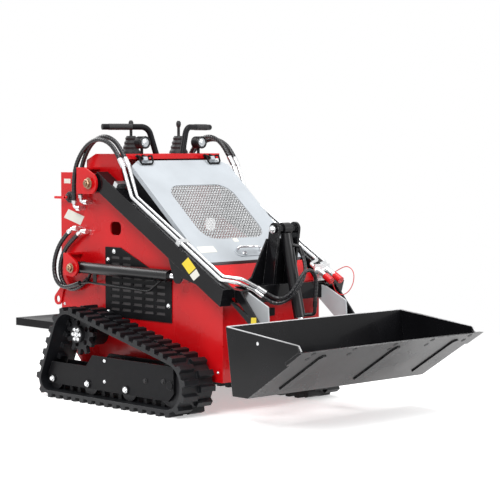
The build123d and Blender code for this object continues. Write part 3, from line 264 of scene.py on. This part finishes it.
def make_surface(
    name, colour, rough, metal=0, coat=0, shine=0.5, grain=900, bump=0.05, mottle=0.08, dust=0,
    edge_wear_and_highlight=0.25, edge_wear_and_highlight_colour=(0.45, 0.45, 0.46), edge=0.0015,
):
    """Material with uneven tone and gloss, fine grain and soft edges, with dust, and with edge
    wear that on dark materials is also a painted highlight.
    """
    material = bpy.data.materials.new(name)
    material.use_nodes = True
    tree = material.node_tree
    place = add_node(tree, "ShaderNodeTexCoord")
    facing = add_node(tree, "ShaderNodeNewGeometry")
    soft = add_node(tree, "ShaderNodeBevel", {"Radius": edge})
    soft.samples = bevel_samples
    patch = noise(tree, place, *patches)
    darker = [c * (1 - mottle) for c in colour]
    lighter = [min(1, c * (1 + mottle)) for c in colour]
    tone = mix_colours(tree, ranged(tree, patch, *noise_range), (*darker, 1), (*lighter, 1))
    if dust:
        tone = dusted(tree, place, facing, tone, dust)
    # Edge colour: wear, and a lighter painted highlight on dark materials
    if edge_wear_and_highlight:
        tone = rubbed_and_highlit(tree, place, facing, soft, tone, edge_wear_and_highlight, edge_wear_and_highlight_colour)
    relief = add_node(tree, "ShaderNodeBump", {
        "Strength": bump,
        "Distance": bump_distance,
        "Height": noise(tree, place, grain, grain_detail),
        "Normal": soft.outputs["Normal"],
    })
    feed(tree, tree.nodes["Principled BSDF"], {
        "Base Color": tone,
        "Metallic": metal,
        "Roughness": ranged(tree, patch, *noise_range, *[rough * share for share in gloss_range]),
        "Coat Weight": coat,
        "Coat Roughness": coat_rough,
        "Specular IOR Level": shine,
        "Normal": relief.outputs["Normal"],
    })
    return material


red_paint = make_surface(
    "red_paint", (0.60, 0.004, 0.007), 0.28, coat=0.22, shine=0.25, grain=500, bump=0.02,
    edge_wear_and_highlight_colour=(0.25, 0.02, 0.02),
)
black_gloss = make_surface(
    "black_gloss", (0.005, 0.005, 0.006), 0.2, coat=0.2, shine=0.15, grain=350, bump=0.03,
    mottle=0.3, edge_wear_and_highlight=0.5,
)
cylinder_black = make_surface(
    "cylinder_black", (0.006, 0.006, 0.007), 0.3, shine=0.3, grain=350, bump=0.04, mottle=0.3,
    edge_wear_and_highlight=0.4,
)
black_satin = make_surface(
    "black_satin", (0.005, 0.005, 0.006), 0.38, shine=0.1, grain=420, bump=0.06, mottle=0.3,
    dust=0.02, edge_wear_and_highlight=0.4,
)
guard_dark = make_surface(
    "guard_dark", (0.045, 0.040, 0.042), 0.5, grain=400, bump=0.1, mottle=0.4, edge_wear_and_highlight=0,
)
hood_grey = make_surface(
    "hood_grey", (0.42, 0.45, 0.48), 0.45, coat=0.1, shine=0.4, grain=700, bump=0.02,
)
screen_grey = make_surface(
    "screen_grey", (0.60, 0.61, 0.62), 0.4, metal=0.3, grain=900, bump=0.03, edge_wear_and_highlight=0,
)
leg_grey = make_surface("leg_grey", (0.52, 0.54, 0.56), 0.4, coat=0.1, grain=600, bump=0.03)
track_rubber = make_surface(
    "track_rubber", (0.005, 0.0055, 0.007), 0.42, shine=0.3, grain=260, bump=0.3, mottle=0.3,
    dust=0.015, edge_wear_and_highlight_colour=(0.10, 0.10, 0.11), edge=0.003,
)
soft_rubber = make_surface(
    "soft_rubber", (0.010, 0.010, 0.011), 0.5, shine=0.35, grain=420, bump=0.15, mottle=0.2,
)
hose_black = make_surface(
    "hose_black", (0.010, 0.010, 0.012), 0.3, shine=0.45, grain=900, bump=0.08, edge_wear_and_highlight=0,
)
iron = make_surface(
    "iron", (0.015, 0.015, 0.017), 0.45, metal=0.3, shine=0.4, grain=300, bump=0.25, mottle=0.3,
)
chrome = make_surface(
    "chrome", (0.70, 0.71, 0.73), 0.12, metal=1, grain=1500, bump=0.01, mottle=0.03, edge_wear_and_highlight=0,
    edge=0.0008,
)
zinc = make_surface(
    "zinc", (0.72, 0.73, 0.74), 0.25, metal=0.9, grain=700, bump=0.06, edge_wear_and_highlight=0, edge=0.001,
)
# Bright steel for the bucket's edges: wear, and a painted highlight along the rims
worn_steel_and_highlight = make_surface(
    "worn_steel_and_highlight", (0.55, 0.55, 0.56), 0.35, metal=0.6, grain=300, bump=0.1, mottle=0.4, edge_wear_and_highlight=0,
)
aged_steel = make_surface(
    "aged_steel", (0.30, 0.19, 0.12), 0.35, metal=0.8, grain=300, bump=0.15, mottle=0.4, edge_wear_and_highlight=0,
    edge=0.001,
)
cap_red = make_surface("cap_red", (0.70, 0.006, 0.010), 0.4, grain=500, bump=0.06, edge_wear_and_highlight=0)
paper = make_surface(
    "paper", (0.74, 0.73, 0.66), 0.45, coat=0.2, grain=500, bump=0.02, mottle=0.04, edge_wear_and_highlight=0,
)
paper_yellow = make_surface(
    "paper_yellow", (0.78, 0.60, 0.03), 0.45, coat=0.2, grain=500, bump=0.02, mottle=0.04, edge_wear_and_highlight=0,
)
lens_glass = make_surface(
    "lens_glass", (0.50, 0.52, 0.54), 0.15, metal=0.9, grain=160, bump=0.4, mottle=0.1, edge_wear_and_highlight=0,
)
# Edges strongly lightened: wear, and a painted highlight along the bucket's rims
bucket_black = make_surface(
    "bucket_black", (0.005, 0.005, 0.006), 0.25, coat=0.1, shine=0.13, grain=300, bump=0.06,
    mottle=0.3, edge_wear_and_highlight=0.9, edge_wear_and_highlight_colour=(0.6, 0.6, 0.6), edge=0.002,
)

node_materials = {
    # node or the start of its name: material. The longest start that fits is taken.
    "side_plate": red_paint,
    "belly_pan": red_paint,
    "front_panel": red_paint,
    "top_deck": red_paint,
    "rear_panel": red_paint,
    "boom_mount": red_paint,
    "step_mount": black_satin,
    "tie_down_rings": red_paint,
    "hood": hood_grey,
    "hood_mesh": black_satin,
    "hood_hinges": black_satin,
    "bay_frame": black_satin,
    "side_grilles": black_satin,
    "engine_block": iron,
    "boom_arm": black_gloss,
    "cross_beam": black_gloss,
    "tilt_tower": black_gloss,
    "boom_legs": black_gloss,
    "leg_inner_plates": leg_grey,
    "boom_pipes": zinc,
    "hose_fittings": zinc,
    "aux_couplers": zinc,
    "coupler_caps": cap_red,
    "lift_barrel": cylinder_black,
    "tilt_barrel": cylinder_black,
    "lift_rod": chrome,
    "tilt_rod": chrome,
    "hitch_plate": black_gloss,
    "bucket": bucket_black,
    "step_platform": black_satin,
    "track_frame": black_satin,
    "track_wheels": iron,
    "drive_sprocket": iron,
    "track": track_rubber,
    "joysticks": soft_rubber,
    "work_lamps": black_satin,
    "hand_bars": black_satin,
}
for node, piece in nodes.items():
    start = max((key for key in node_materials if node.startswith(key)), key=len, default=None)
    if start:
        piece.data.materials.clear()
        piece.data.materials.append(node_materials[start])


# Shapes, as pairs of corner list and face list
def basis(axis):
    """Two directions across an axis, and the axis itself."""
    along = Vector(axis).normalized()
    across = along.orthogonal().normalized()
    return across, along.cross(across), along


def ring_faces(rows, count):
    """Faces between rows of corners that each go once round, with a cap at both ends."""
    faces = []
    for row in range(rows - 1):
        first, second = row * count, (row + 1) * count
        for k in range(count):
            after = (k + 1) % count
            faces.append((first + k, first + after, second + after, second + k))
    faces.append(tuple(range(count - 1, -1, -1)))
    faces.append(tuple((rows - 1) * count + k for k in range(count)))
    return faces


def turned(profile, at, axis, count=24, turn=0):
    """Shape turned about an axis from pairs of radius and height."""
    u, v, w = basis(axis)
    corners = []
    for r, h in profile:
        for k in range(count):
            angle = 2 * pi * k / count + turn
            corners.append(Vector(at) + u * (r * cos(angle)) + v * (r * sin(angle)) + w * h)
    return corners, ring_faces(len(profile), count)


def prism(outline, at, u, v, depth, chamfer=0.0008):
    """Plate from an outline in the plane of u and v, with a depth and a chamfered rim."""
    u, v = Vector(u).normalized(), Vector(v).normalized()
    w = u.cross(v)
    count = len(outline)
    middle = (sum(p[0] for p in outline) / count, sum(p[1] for p in outline) / count)
    rows = ((0, 0), (0, depth - chamfer), (chamfer, depth))
    corners = []
    for inset, height in rows:
        for a, b in outline:
            keep = 1 - inset / hypot(a - middle[0], b - middle[1])
            a, b = middle[0] + (a - middle[0]) * keep, middle[1] + (b - middle[1]) * keep
            corners.append(Vector(at) + u * a + v * b + w * height)
    return corners, ring_faces(len(rows), count)


def rounded(width, height, r, steps=5):
    """Outline of a rounded rectangle about its middle."""
    points = []
    for number, (sx, sy) in enumerate(((1, 1), (-1, 1), (-1, -1), (1, -1))):
        for step in range(steps + 1):
            angle = pi / 2 * (number + step / steps)
            x = sx * (width / 2 - r) + r * cos(angle)
            y = sy * (height / 2 - r) + r * sin(angle)
            points.append((x, y))
    return points


def swept(path, radius, count=12):
    """Tube along a path. The radius is a number, or a function of the distance and the angle."""
    corners = []
    across = (path[1] - path[0]).orthogonal().normalized()
    distance = 0
    for number, point in enumerate(path):
        ahead = path[min(number + 1, len(path) - 1)] - path[max(number - 1, 0)]
        along = ahead.normalized()
        across = (across - along * across.dot(along)).normalized()
        side = along.cross(across)
        if number:
            distance += (point - path[number - 1]).length
        for k in range(count):
            angle = 2 * pi * k / count
            r = radius(distance, angle) if callable(radius) else radius
            corners.append(point + across * (r * cos(angle)) + side * (r * sin(angle)))
    return corners, ring_faces(len(path), count)


def make_piece(name, shapes, material, body=None, smooth=35):
    """Object joined from several shapes, which rides on a body if one is given."""
    corners, faces = [], []
    for shape_corners, shape_faces in shapes:
        first = len(corners)
        corners += shape_corners
        faces += [tuple(first + k for k in face) for face in shape_faces]
    mesh = bpy.data.meshes.new(name)
    mesh.from_pydata([tuple(c) for c in corners], [], faces)
    mesh.validate()
    mesh.shade_smooth()
    mesh.set_sharp_from_angle(angle=radians(smooth))
    piece = bpy.data.objects.new(name, mesh)
    scene.collection.objects.link(piece)
    piece.data.materials.append(material)
    if body:
        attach(piece, body)
    return piece


def spline_points(name, points, fineness):
    """Points read from a smooth spline with the given points as its control points."""
    curve = bpy.data.curves.new(f"{name}_line", "CURVE")
    curve.dimensions = "3D"
    curve.resolution_u = fineness
    spline = curve.splines.new("NURBS")
    spline.points.add(len(points) - 1)
    for knot, point in zip(spline.points, points):
        knot.co = (*point, 1)
    spline.order_u = 3
    spline.use_endpoint_u = True
    line = bpy.data.objects.new(f"{name}_line", curve)
    scene.collection.objects.link(line)
    mesh = bpy.data.meshes.new_from_object(line)
    path = [v.co.copy() for v in mesh.vertices]
    bpy.data.objects.remove(line)
    bpy.data.meshes.remove(mesh)
    return path


# Fasteners, of turned parts: a profile as shares of the fastener's size, number of sides, turn
bolt = [
    ([(1.20, 0), (1.20, 0.14), (1.10, 0.20)], 24, 0),
    ([(0.95, 0.20), (0.95, 0.62), (0.80, 0.76)], 6, 0.3),
]
pin_nut = [
    ([(1.25, 0), (1.25, 0.12), (1.15, 0.18)], 24, 0),
    ([(1.00, 0.18), (1.00, 0.70), (0.86, 0.82)], 6, 0.2),
    ([(0.50, 0.82), (0.50, 1.05), (0.42, 1.15)], 24, 0),
]
wall_y = 0.300
hub_at = (-0.413, 0.304)
hub_bolts_r = 0.025
hub_bolts_at = [
    (hub_at[0] + hub_bolts_r * cos(pi / 3 * k), hub_at[1] + hub_bolts_r * sin(pi / 3 * k))
    for k in range(6)
]
side_fasteners = [
    # name, kind, material, body, y of the surface, size, places (x, z)
    ("axle_bolts", bolt, zinc, "root", 0.476, 0.012, [
        (-0.560, 0.086), (-0.298, 0.086), (-0.021, 0.086),
    ]),
    ("frame_screws", bolt, zinc, "root", 0.470, 0.007, [(-0.176, 0.203), (-0.176, 0.108)]),
    ("frame_plugs", bolt, soft_rubber, "root", 0.470, 0.010, [(0.112, 0.140), (0.235, 0.150)]),
    ("guard_bolts", bolt, zinc, "root", 0.305, 0.009, [
        (-0.306, 0.690), (0.080, 0.461), (-0.350, 0.405), (-0.350, 0.650),
    ]),
    ("hub_bolts", bolt, zinc, "root", 0.448, 0.008, hub_bolts_at),
    ("wall_screws", bolt, zinc, "root", wall_y, 0.006, [
        (-0.690, 0.420), (0.405, 0.190), (0.405, 0.560),
    ]),
    ("arm_pin_nut", pin_nut, aged_steel, "root", 0.404, 0.021, [(-0.372, 1.007)]),
    ("lift_pin_nut", pin_nut, aged_steel, "root", 0.404, 0.018, [(-0.510, 0.607)]),
    ("tower_pin_nut", pin_nut, zinc, "boom", 0.076, 0.014, [(0.517, 0.815)]),
    ("hub_cap", pin_nut, zinc, "root", 0.448, 0.012, [hub_at]),
]

# Dark sheet behind the guard panel's slots (x, z), and its depth and chamfer
guard_edge = [
    (-0.368, 0.389), (0.096, 0.389), (0.096, 0.588), (0.028, 0.588), (-0.262, 0.705),
    (-0.368, 0.705),
]
guard_sheet = (0.0008, 0.0002)


def fastener(kind, at, axis, size):
    """Shapes of a bolt or nut on a surface."""
    return [
        turned([(size * r, size * h) for r, h in profile], at, axis, count, turn)
        for profile, count, turn in kind
    ]


for side, word in sides:
    outward = (0, side, 0)
    for name, kind, material, body, y, size, places in side_fasteners:
        shapes = []
        for x, z in places:
            shapes += fastener(kind, (x, side * y, z), outward, size)
        make_piece(f"{name}_{word}", shapes, material, body)
    # The outline goes anticlockwise as seen from outside
    outline = [(-side * x, z) for x, z in guard_edge][::-side]
    backing = prism(outline, (0, side * wall_y, 0), (-side, 0, 0), upward, *guard_sheet)
    make_piece(f"guard_backing_{word}", [backing], guard_dark, "root")

# The hood's slope. A place on it is so far down from the hinges and so far to the left.
hood_rear = Vector((-0.205, 0, 1.112))
hood_front = Vector((0.322, 0, 0.668))
hood_down = (hood_front - hood_rear).normalized()
hood_out = hood_down.cross(left)


def on_hood(down, y, height=0):
    """Point on the hood's slope, or above it."""
    return hood_rear + hood_down * down + left * y + hood_out * height


# Woven mesh behind the hood's opening
mesh_half_width = 0.206
mesh_down = (0.164, 0.555)
mesh_middle = sum(mesh_down) / 2
mesh_corner = 0.092
mesh_margin = 0.004
mesh_reach = 0.30
mesh_pitch = 0.0115
mesh_sunk = 0.0055
wire_r = 0.0018
wire_sides = 5
diagonal = 0.7071
opening_half_width = 0.194
opening_down = (0.176, 0.543)
opening_corner = 0.080
rim_heights = (-0.0045, -0.006)


def inside_mesh(down, y):
    """Whether a place on the slope is inside the mesh's rounded outline."""
    a = abs(down - mesh_middle) - ((mesh_down[1] - mesh_down[0]) / 2 - mesh_corner)
    b = abs(y) - (mesh_half_width - mesh_corner)
    return hypot(max(a, 0), max(b, 0)) < mesh_corner - mesh_margin


def make_wires():
    """Wires woven over and under each other, aslant both ways."""
    shapes = []
    count = int(mesh_reach / mesh_pitch)
    step = mesh_pitch / 2
    for way in (-1, 1):
        for number in range(-count, count + 1):
            run = []
            for part in range(-2 * count, 2 * count + 1):
                along, across = part * step, number * mesh_pitch
                down = mesh_middle + (along + across) * diagonal
                y = way * (along - across) * diagonal
                if inside_mesh(down, y):
                    weave = way * (-1) ** number * sin(pi * (part / 2 + 0.5)) * wire_r
                    run.append(on_hood(down, y, weave - mesh_sunk))
            if len(run) > 2:
                shapes.append(swept(run, wire_r, wire_sides))
    return shapes


def make_rim():
    """Flat rim round the mesh."""
    outer = rounded(2 * mesh_half_width, mesh_down[1] - mesh_down[0], mesh_corner)
    inner = rounded(2 * opening_half_width, opening_down[1] - opening_down[0], opening_corner)
    corners, faces = [], []
    for height in rim_heights:
        for outline in (outer, inner):
            corners += [on_hood(mesh_middle + b, a, height) for a, b in outline]
    count = len(outer)
    for k in range(count):
        after = (k + 1) % count
        faces += [
            (k, after, count + after, count + k),
            (2 * count + k, 3 * count + k, 3 * count + after, 2 * count + after),
            (k, 2 * count + k, 2 * count + after, after),
            (count + k, count + after, 3 * count + after, 3 * count + k),
        ]
    return corners, faces


mesh = make_piece("hood_screen", [*make_wires(), make_rim()], screen_grey, "hood")
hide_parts("hood_mesh")

# On the hood: the latch with its bent handle, blank notes, and the loops of the hinges.
# Points are down the slope, to the left and above it.
film = (0.0006, 0.0002)  # depth and chamfer of a sign
handle_r = 0.006
handle_line = [
    (0.628, -0.070, 0.002), (0.628, -0.070, 0.020), (0.628, -0.060, 0.028), (0.630, 0.020, 0.028),
    (0.634, 0.050, 0.027), (0.646, 0.058, 0.026), (0.656, 0.050, 0.026), (0.658, 0.036, 0.026),
]
latch_knob = [(0.013, 0), (0.013, 0.008), (0.010, 0.011), (0.004, 0.011)]
latch_knob_at = (0.646, -0.035)
hinge_loop_r = 0.0045
hinge_loop_line = [
    (-0.020, 0.172, 0.010), (-0.004, 0.172, 0.026), (0.022, 0.172, 0.012), (0.030, 0.180, 0.006),
    (0.030, 0.240, 0.006), (0.022, 0.248, 0.012), (-0.004, 0.248, 0.026), (-0.020, 0.248, 0.010),
]


def hood_plate(size, at, *depth_and_chamfer):
    """Plate on the hood, its size given as width, height and corner radius."""
    return prism(rounded(*size), on_hood(*at), left, -hood_down, *depth_and_chamfer)


make_piece("latch_plate", [
    hood_plate((0.150, 0.052, 0.024), (0.638, -0.008), 0.003),
], hood_grey, "hood")
make_piece("hood_latch", [
    swept([on_hood(*point) for point in handle_line], handle_r),
    turned(latch_knob, on_hood(*latch_knob_at), hood_out),
], chrome, "hood")
make_piece("hood_notes", [
    hood_plate((0.100, 0.040, 0.004), (0.606, -0.232), *film),
    hood_plate((0.030, 0.022, 0.003), (0.556, -0.022), *film),
], paper, "hood")
for side, word in sides:
    loop = [on_hood(down, side * y, height) for down, y, height in hinge_loop_line]
    make_piece(
        f"hinge_loop_{word}", [swept(loop, hinge_loop_r)], black_satin, "hood",
    )

# Blank signs
signs = [
    # name, material, body, y, outline (x, z)
    ("wall_sign", paper, "root", -wall_y, [
        (-0.693, 0.835), (-0.565, 0.803), (-0.534, 0.845), (-0.657, 0.877),
    ]),
    ("rear_sign", paper, "root", -wall_y, [
        (-0.690, 1.000), (-0.640, 1.000), (-0.640, 1.022), (-0.690, 1.022),
    ]),
    ("arm_sign", paper_yellow, "boom", -0.377, [
        (0.254, 0.665), (0.302, 0.621), (0.346, 0.651), (0.296, 0.695),
    ]),
    ("arm_sign_white", paper, "boom", -0.377, [
        (0.306, 0.617), (0.332, 0.594), (0.372, 0.620), (0.350, 0.647),
    ]),
    ("leg_sign", paper_yellow, "boom", -0.300, [
        (0.614, 0.420), (0.648, 0.422), (0.648, 0.450), (0.616, 0.448),
    ]),
]
for name, material, body, y, outline in signs:
    plate = prism(outline, (0, y, 0), forward, upward, *film)
    make_piece(name, [plate], material, body)

# Lamps: a bezel and domed glass in front of each housing
lamp_at = (-0.235, 0.177, 1.196)
lamp_sides = 32
lamp_bezel = [(0.029, 0), (0.030, 0.004), (0.029, 0.008), (0.025, 0.009), (0.0245, 0.004)]
lamp_glass = [(0.0245, 0.003), (0.022, 0.0065), (0.016, 0.009), (0.008, 0.0105), (0.001, 0.011)]
lamp_parts = [
    # name, profile, material
    ("lamp_bezel", lamp_bezel, black_gloss),
    ("lamp_glass", lamp_glass, lens_glass),
]
for side, word in sides:
    x, y, z = lamp_at
    for name, profile, material in lamp_parts:
        part = turned(profile, (x, side * y, z), forward, lamp_sides)
        make_piece(f"{name}_{word}", [part], material, "root")

# Grips with raised rings on the outer halves of the hand bars, and knobs on the control levers
bar_inner = (-0.277, 0.120, 1.269)
bar_outer = (-0.352, 0.336, 1.269)
grip_from = 0.36
grip_to = 0.86
grip_steps = 60
grip_sides = 20
grip_r = 0.0146
grip_ring = 0.0006
grip_pitch = 0.009
knob_at = (-0.368, 0.149, 1.267)
knob = [(0.006, 0), (0.010, 0.006), (0.012, 0.016), (0.011, 0.026), (0.006, 0.032), (0.002, 0.033)]


def ringed(distance, angle):
    """Radius of a grip with raised rings, the same all the way round."""
    return grip_r + grip_ring * (sin(2 * pi * distance / grip_pitch) > 0)


for side, word in sides:
    inner, outer, place = (
        Vector((x, side * y, z)) for x, y, z in (bar_inner, bar_outer, knob_at)
    )
    run = [
        inner.lerp(outer, grip_from + (grip_to - grip_from) * k / grip_steps)
        for k in range(grip_steps + 1)
    ]
    grip = swept(run, ringed, grip_sides)
    make_piece(f"bar_grip_{word}", [grip], soft_rubber, "root")
    lever_knob = turned(knob, place, upward)
    make_piece(f"lever_knob_{word}", [lever_knob], soft_rubber, "root")

# Battery switch on the right wall, with its key towards the rear
switch_at = Vector((-0.636, -wall_y, 0.935))
switch_sides = 32
switch_profile = [
    (0.027, 0), (0.027, 0.010), (0.024, 0.014), (0.016, 0.015), (0.015, 0.026), (0.012, 0.028),
]
key_size = (0.088, 0.012, 0.005)  # width, height and corner radius
key_depth = 0.010
key_at = switch_at + Vector((-0.040, -0.028, -0.002))
key_stem = [(0.007, 0), (0.007, 0.012), (0.006, 0.014)]
key_stem_at = switch_at + Vector((0, -0.024, 0))
make_piece("switch_body", [
    turned(switch_profile, switch_at, -left, switch_sides),
], soft_rubber, "root")
make_piece("switch_key", [
    prism(rounded(*key_size), key_at, forward, upward, key_depth),
    turned(key_stem, key_stem_at, -left),
], cap_red, "root")

# Bucket: wear strips under the sloping floor, and bolts along the blade and on its sides.
# The strips' outline is (y, up the floor).
toe, tip = Vector((0.853, 0, 0.148)), Vector((1.190, 0, 0.367))
floor_up = (tip - toe).normalized()
floor_out = floor_up.cross(left)
strip_outline = [
    (-0.020, 0.06), (0.020, 0.06), (0.020, 0.335), (0.008, 0.352), (-0.008, 0.352),
    (-0.020, 0.335),
]
strip_depth = 0.006
strip_chamfer = 0.002
strips_y = (-0.394, 0.054, 0.432)
blade_bolts_y = (-0.482, -0.241, 0.006, 0.243, 0.490)
blade_bolts_up = (0.338, 0.380)
blade_bolt = [(0.011, -0.001), (0.011, 0.001), (0.009, 0.003), (0.004, 0.0035)]
bucket_bolt = [(0.007, 0), (0.007, 0.002), (0.005, 0.003)]
bucket_bolt_x, bucket_bolt_y, bucket_bolt_z = 0.914, 0.545, 0.381
make_piece("wear_strips", [
    prism(strip_outline, toe + left * y, left, floor_up, strip_depth, strip_chamfer)
    for y in strips_y
], bucket_black, "bucket")
make_piece("blade_bolts", [
    turned(blade_bolt, toe + floor_up * up + left * y, floor_out)
    for y in blade_bolts_y for up in blade_bolts_up
], soft_rubber, "bucket")
make_piece("bucket_side_bolts", [
    turned(bucket_bolt, (bucket_bolt_x, side * bucket_bolt_y, bucket_bolt_z), (0, side, 0))
    for side, _ in sides
], zinc, "bucket")

# Edges of the bucket in bright steel, for wear and as a painted highlight along them: the rear lip
# and the sides' rims, in (x, z)
edge_r = 0.0035
edge_sides = 8
edge_y = 0.540
lip = (0.7255, 0.4345)
rim = [
    (0.724, 0.4340), (0.930, 0.4125), (1.138, 0.3905), (1.146, 0.3885), (1.152, 0.3795),
    (1.160, 0.3675),
]
edges = [[Vector((lip[0], y, lip[1])) for y in (-edge_y, 0, edge_y)]]
for side, _ in sides:
    edges.append([Vector((x, side * edge_y, z)) for x, z in rim])
make_piece("bucket_edges", [
    swept(edge, edge_r, edge_sides) for edge in edges
], worn_steel_and_highlight, "bucket")

# Safety lanyard from the couplers' bracket to their caps
lanyard_d = 0.004
lanyard_sides = 8
lanyard_fineness = 12
lanyard_points = [
    (0.492, 0.300, 0.600), (0.520, 0.306, 0.602), (0.552, 0.312, 0.622), (0.592, 0.322, 0.640),
    (0.626, 0.330, 0.618), (0.632, 0.326, 0.570), (0.616, 0.312, 0.524), (0.590, 0.292, 0.505),
    (0.572, 0.272, 0.520), (0.574, 0.252, 0.548), (0.580, 0.240, 0.566),
]
lanyard_path = spline_points("lanyard", lanyard_points, lanyard_fineness)
lanyard = make_piece("cap_lanyard", [
    swept(lanyard_path, lanyard_d / 2, lanyard_sides),
], cap_red, "boom")

# Plate low on the front panel: width, height and corner radius
front_plate = (0.057, 0.037, 0.005)
front_plate_at = (0.436, -0.013, 0.441)
front_plate_depth = 0.003
make_piece("front_plate", [
    prism(rounded(*front_plate), front_plate_at, left, upward, front_plate_depth),
], black_satin, "root")

# Hoses. Their points are the corners of the solids' routes, which a spline rounds here.
hose_d = 0.0215
tilt_hose_d = 0.017
hose_fineness = 40
hose_sides = 20
hose_smooth = 60
wrap_pitch = 0.016
wrap_depth = 0.0016
wrap_flat = 0.35  # the smaller, the flatter the band and the narrower its groove
hose_routes = {
    # route, on the right side: points, length, bodies that it joins
    "upper_hose_outer": ([
        (-0.569, -0.334, 0.922), (-0.566, -0.338, 0.975), (-0.557, -0.342, 1.035),
        (-0.536, -0.346, 1.092), (-0.490, -0.350, 1.150), (-0.431, -0.353, 1.192),
        (-0.362, -0.356, 1.213), (-0.292, -0.358, 1.204), (-0.231, -0.359, 1.168),
        (-0.197, -0.359, 1.121),
    ], 0.589, "root", "boom"),
    "upper_hose_inner": ([
        (-0.522, -0.331, 0.948), (-0.528, -0.331, 0.998), (-0.520, -0.330, 1.060),
        (-0.497, -0.330, 1.120), (-0.457, -0.329, 1.176), (-0.403, -0.328, 1.214),
        (-0.340, -0.327, 1.227), (-0.276, -0.326, 1.207), (-0.230, -0.326, 1.168),
        (-0.198, -0.326, 1.125),
    ], 0.553, "root", "boom"),
    "lower_hose_outer": ([
        (-0.611, -0.336, 0.768), (-0.650, -0.338, 0.737), (-0.686, -0.341, 0.694),
        (-0.709, -0.344, 0.642), (-0.714, -0.347, 0.586), (-0.694, -0.349, 0.534),
        (-0.647, -0.350, 0.507), (-0.590, -0.350, 0.509), (-0.536, -0.350, 0.524),
    ], 0.437, "root", "lift_barrel"),
    "lower_hose_inner": ([
        (-0.544, -0.330, 0.762), (-0.588, -0.328, 0.735), (-0.633, -0.326, 0.703),
        (-0.673, -0.324, 0.660), (-0.696, -0.323, 0.606), (-0.694, -0.322, 0.549),
        (-0.659, -0.321, 0.505), (-0.606, -0.320, 0.494), (-0.553, -0.320, 0.507),
        (-0.508, -0.320, 0.535),
    ], 0.493, "root", "lift_barrel"),
}
tilt_routes = {
    # route: points, length
    "tilt_hose_upper": ([
        (0.545, -0.166, 0.527), (0.559, -0.143, 0.507), (0.584, -0.122, 0.494),
        (0.610, -0.095, 0.501), (0.629, -0.059, 0.532), (0.640, -0.026, 0.574),
        (0.643, 0.000, 0.620), (0.632, 0.013, 0.664), (0.607, 0.020, 0.702),
    ], 0.355),
    "tilt_hose_lower": ([
        (0.550, -0.150, 0.543), (0.565, -0.128, 0.526), (0.589, -0.110, 0.516),
        (0.618, -0.097, 0.522), (0.641, -0.080, 0.545), (0.656, -0.063, 0.581),
        (0.666, -0.048, 0.613), (0.672, -0.025, 0.639), (0.673, 0.013, 0.639),
        (0.670, 0.039, 0.611), (0.668, 0.046, 0.570), (0.665, 0.044, 0.534),
        (0.665, 0.042, 0.503),
    ], 0.425),
}


def make_hose(name, points, diameter):
    """Hose in a spiral wrap along a smooth line through its points."""
    def wrapped(distance, angle):
        # 0 in the wrap's groove, which goes once round in a pitch, and 1 in the middle of its band
        across_band = abs(sin(pi * distance / wrap_pitch - angle / 2))
        return diameter / 2 - wrap_depth * (1 - across_band ** wrap_flat)

    path = spline_points(name, points, hose_fineness)
    tube = swept(path, wrapped, hose_sides)
    hose = make_piece(name + "_skin", [tube], hose_black, smooth=hose_smooth)
    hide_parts(name)
    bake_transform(hose)


for side, word in sides:
    for name, (points, length, body_a, body_b) in hose_routes.items():
        places = [(x, -side * y, z) for x, y, z in points]
        make_hose(f"{name}_{word}", places, hose_d)
for name, (points, length) in tilt_routes.items():
    make_hose(name, points, tilt_hose_d)
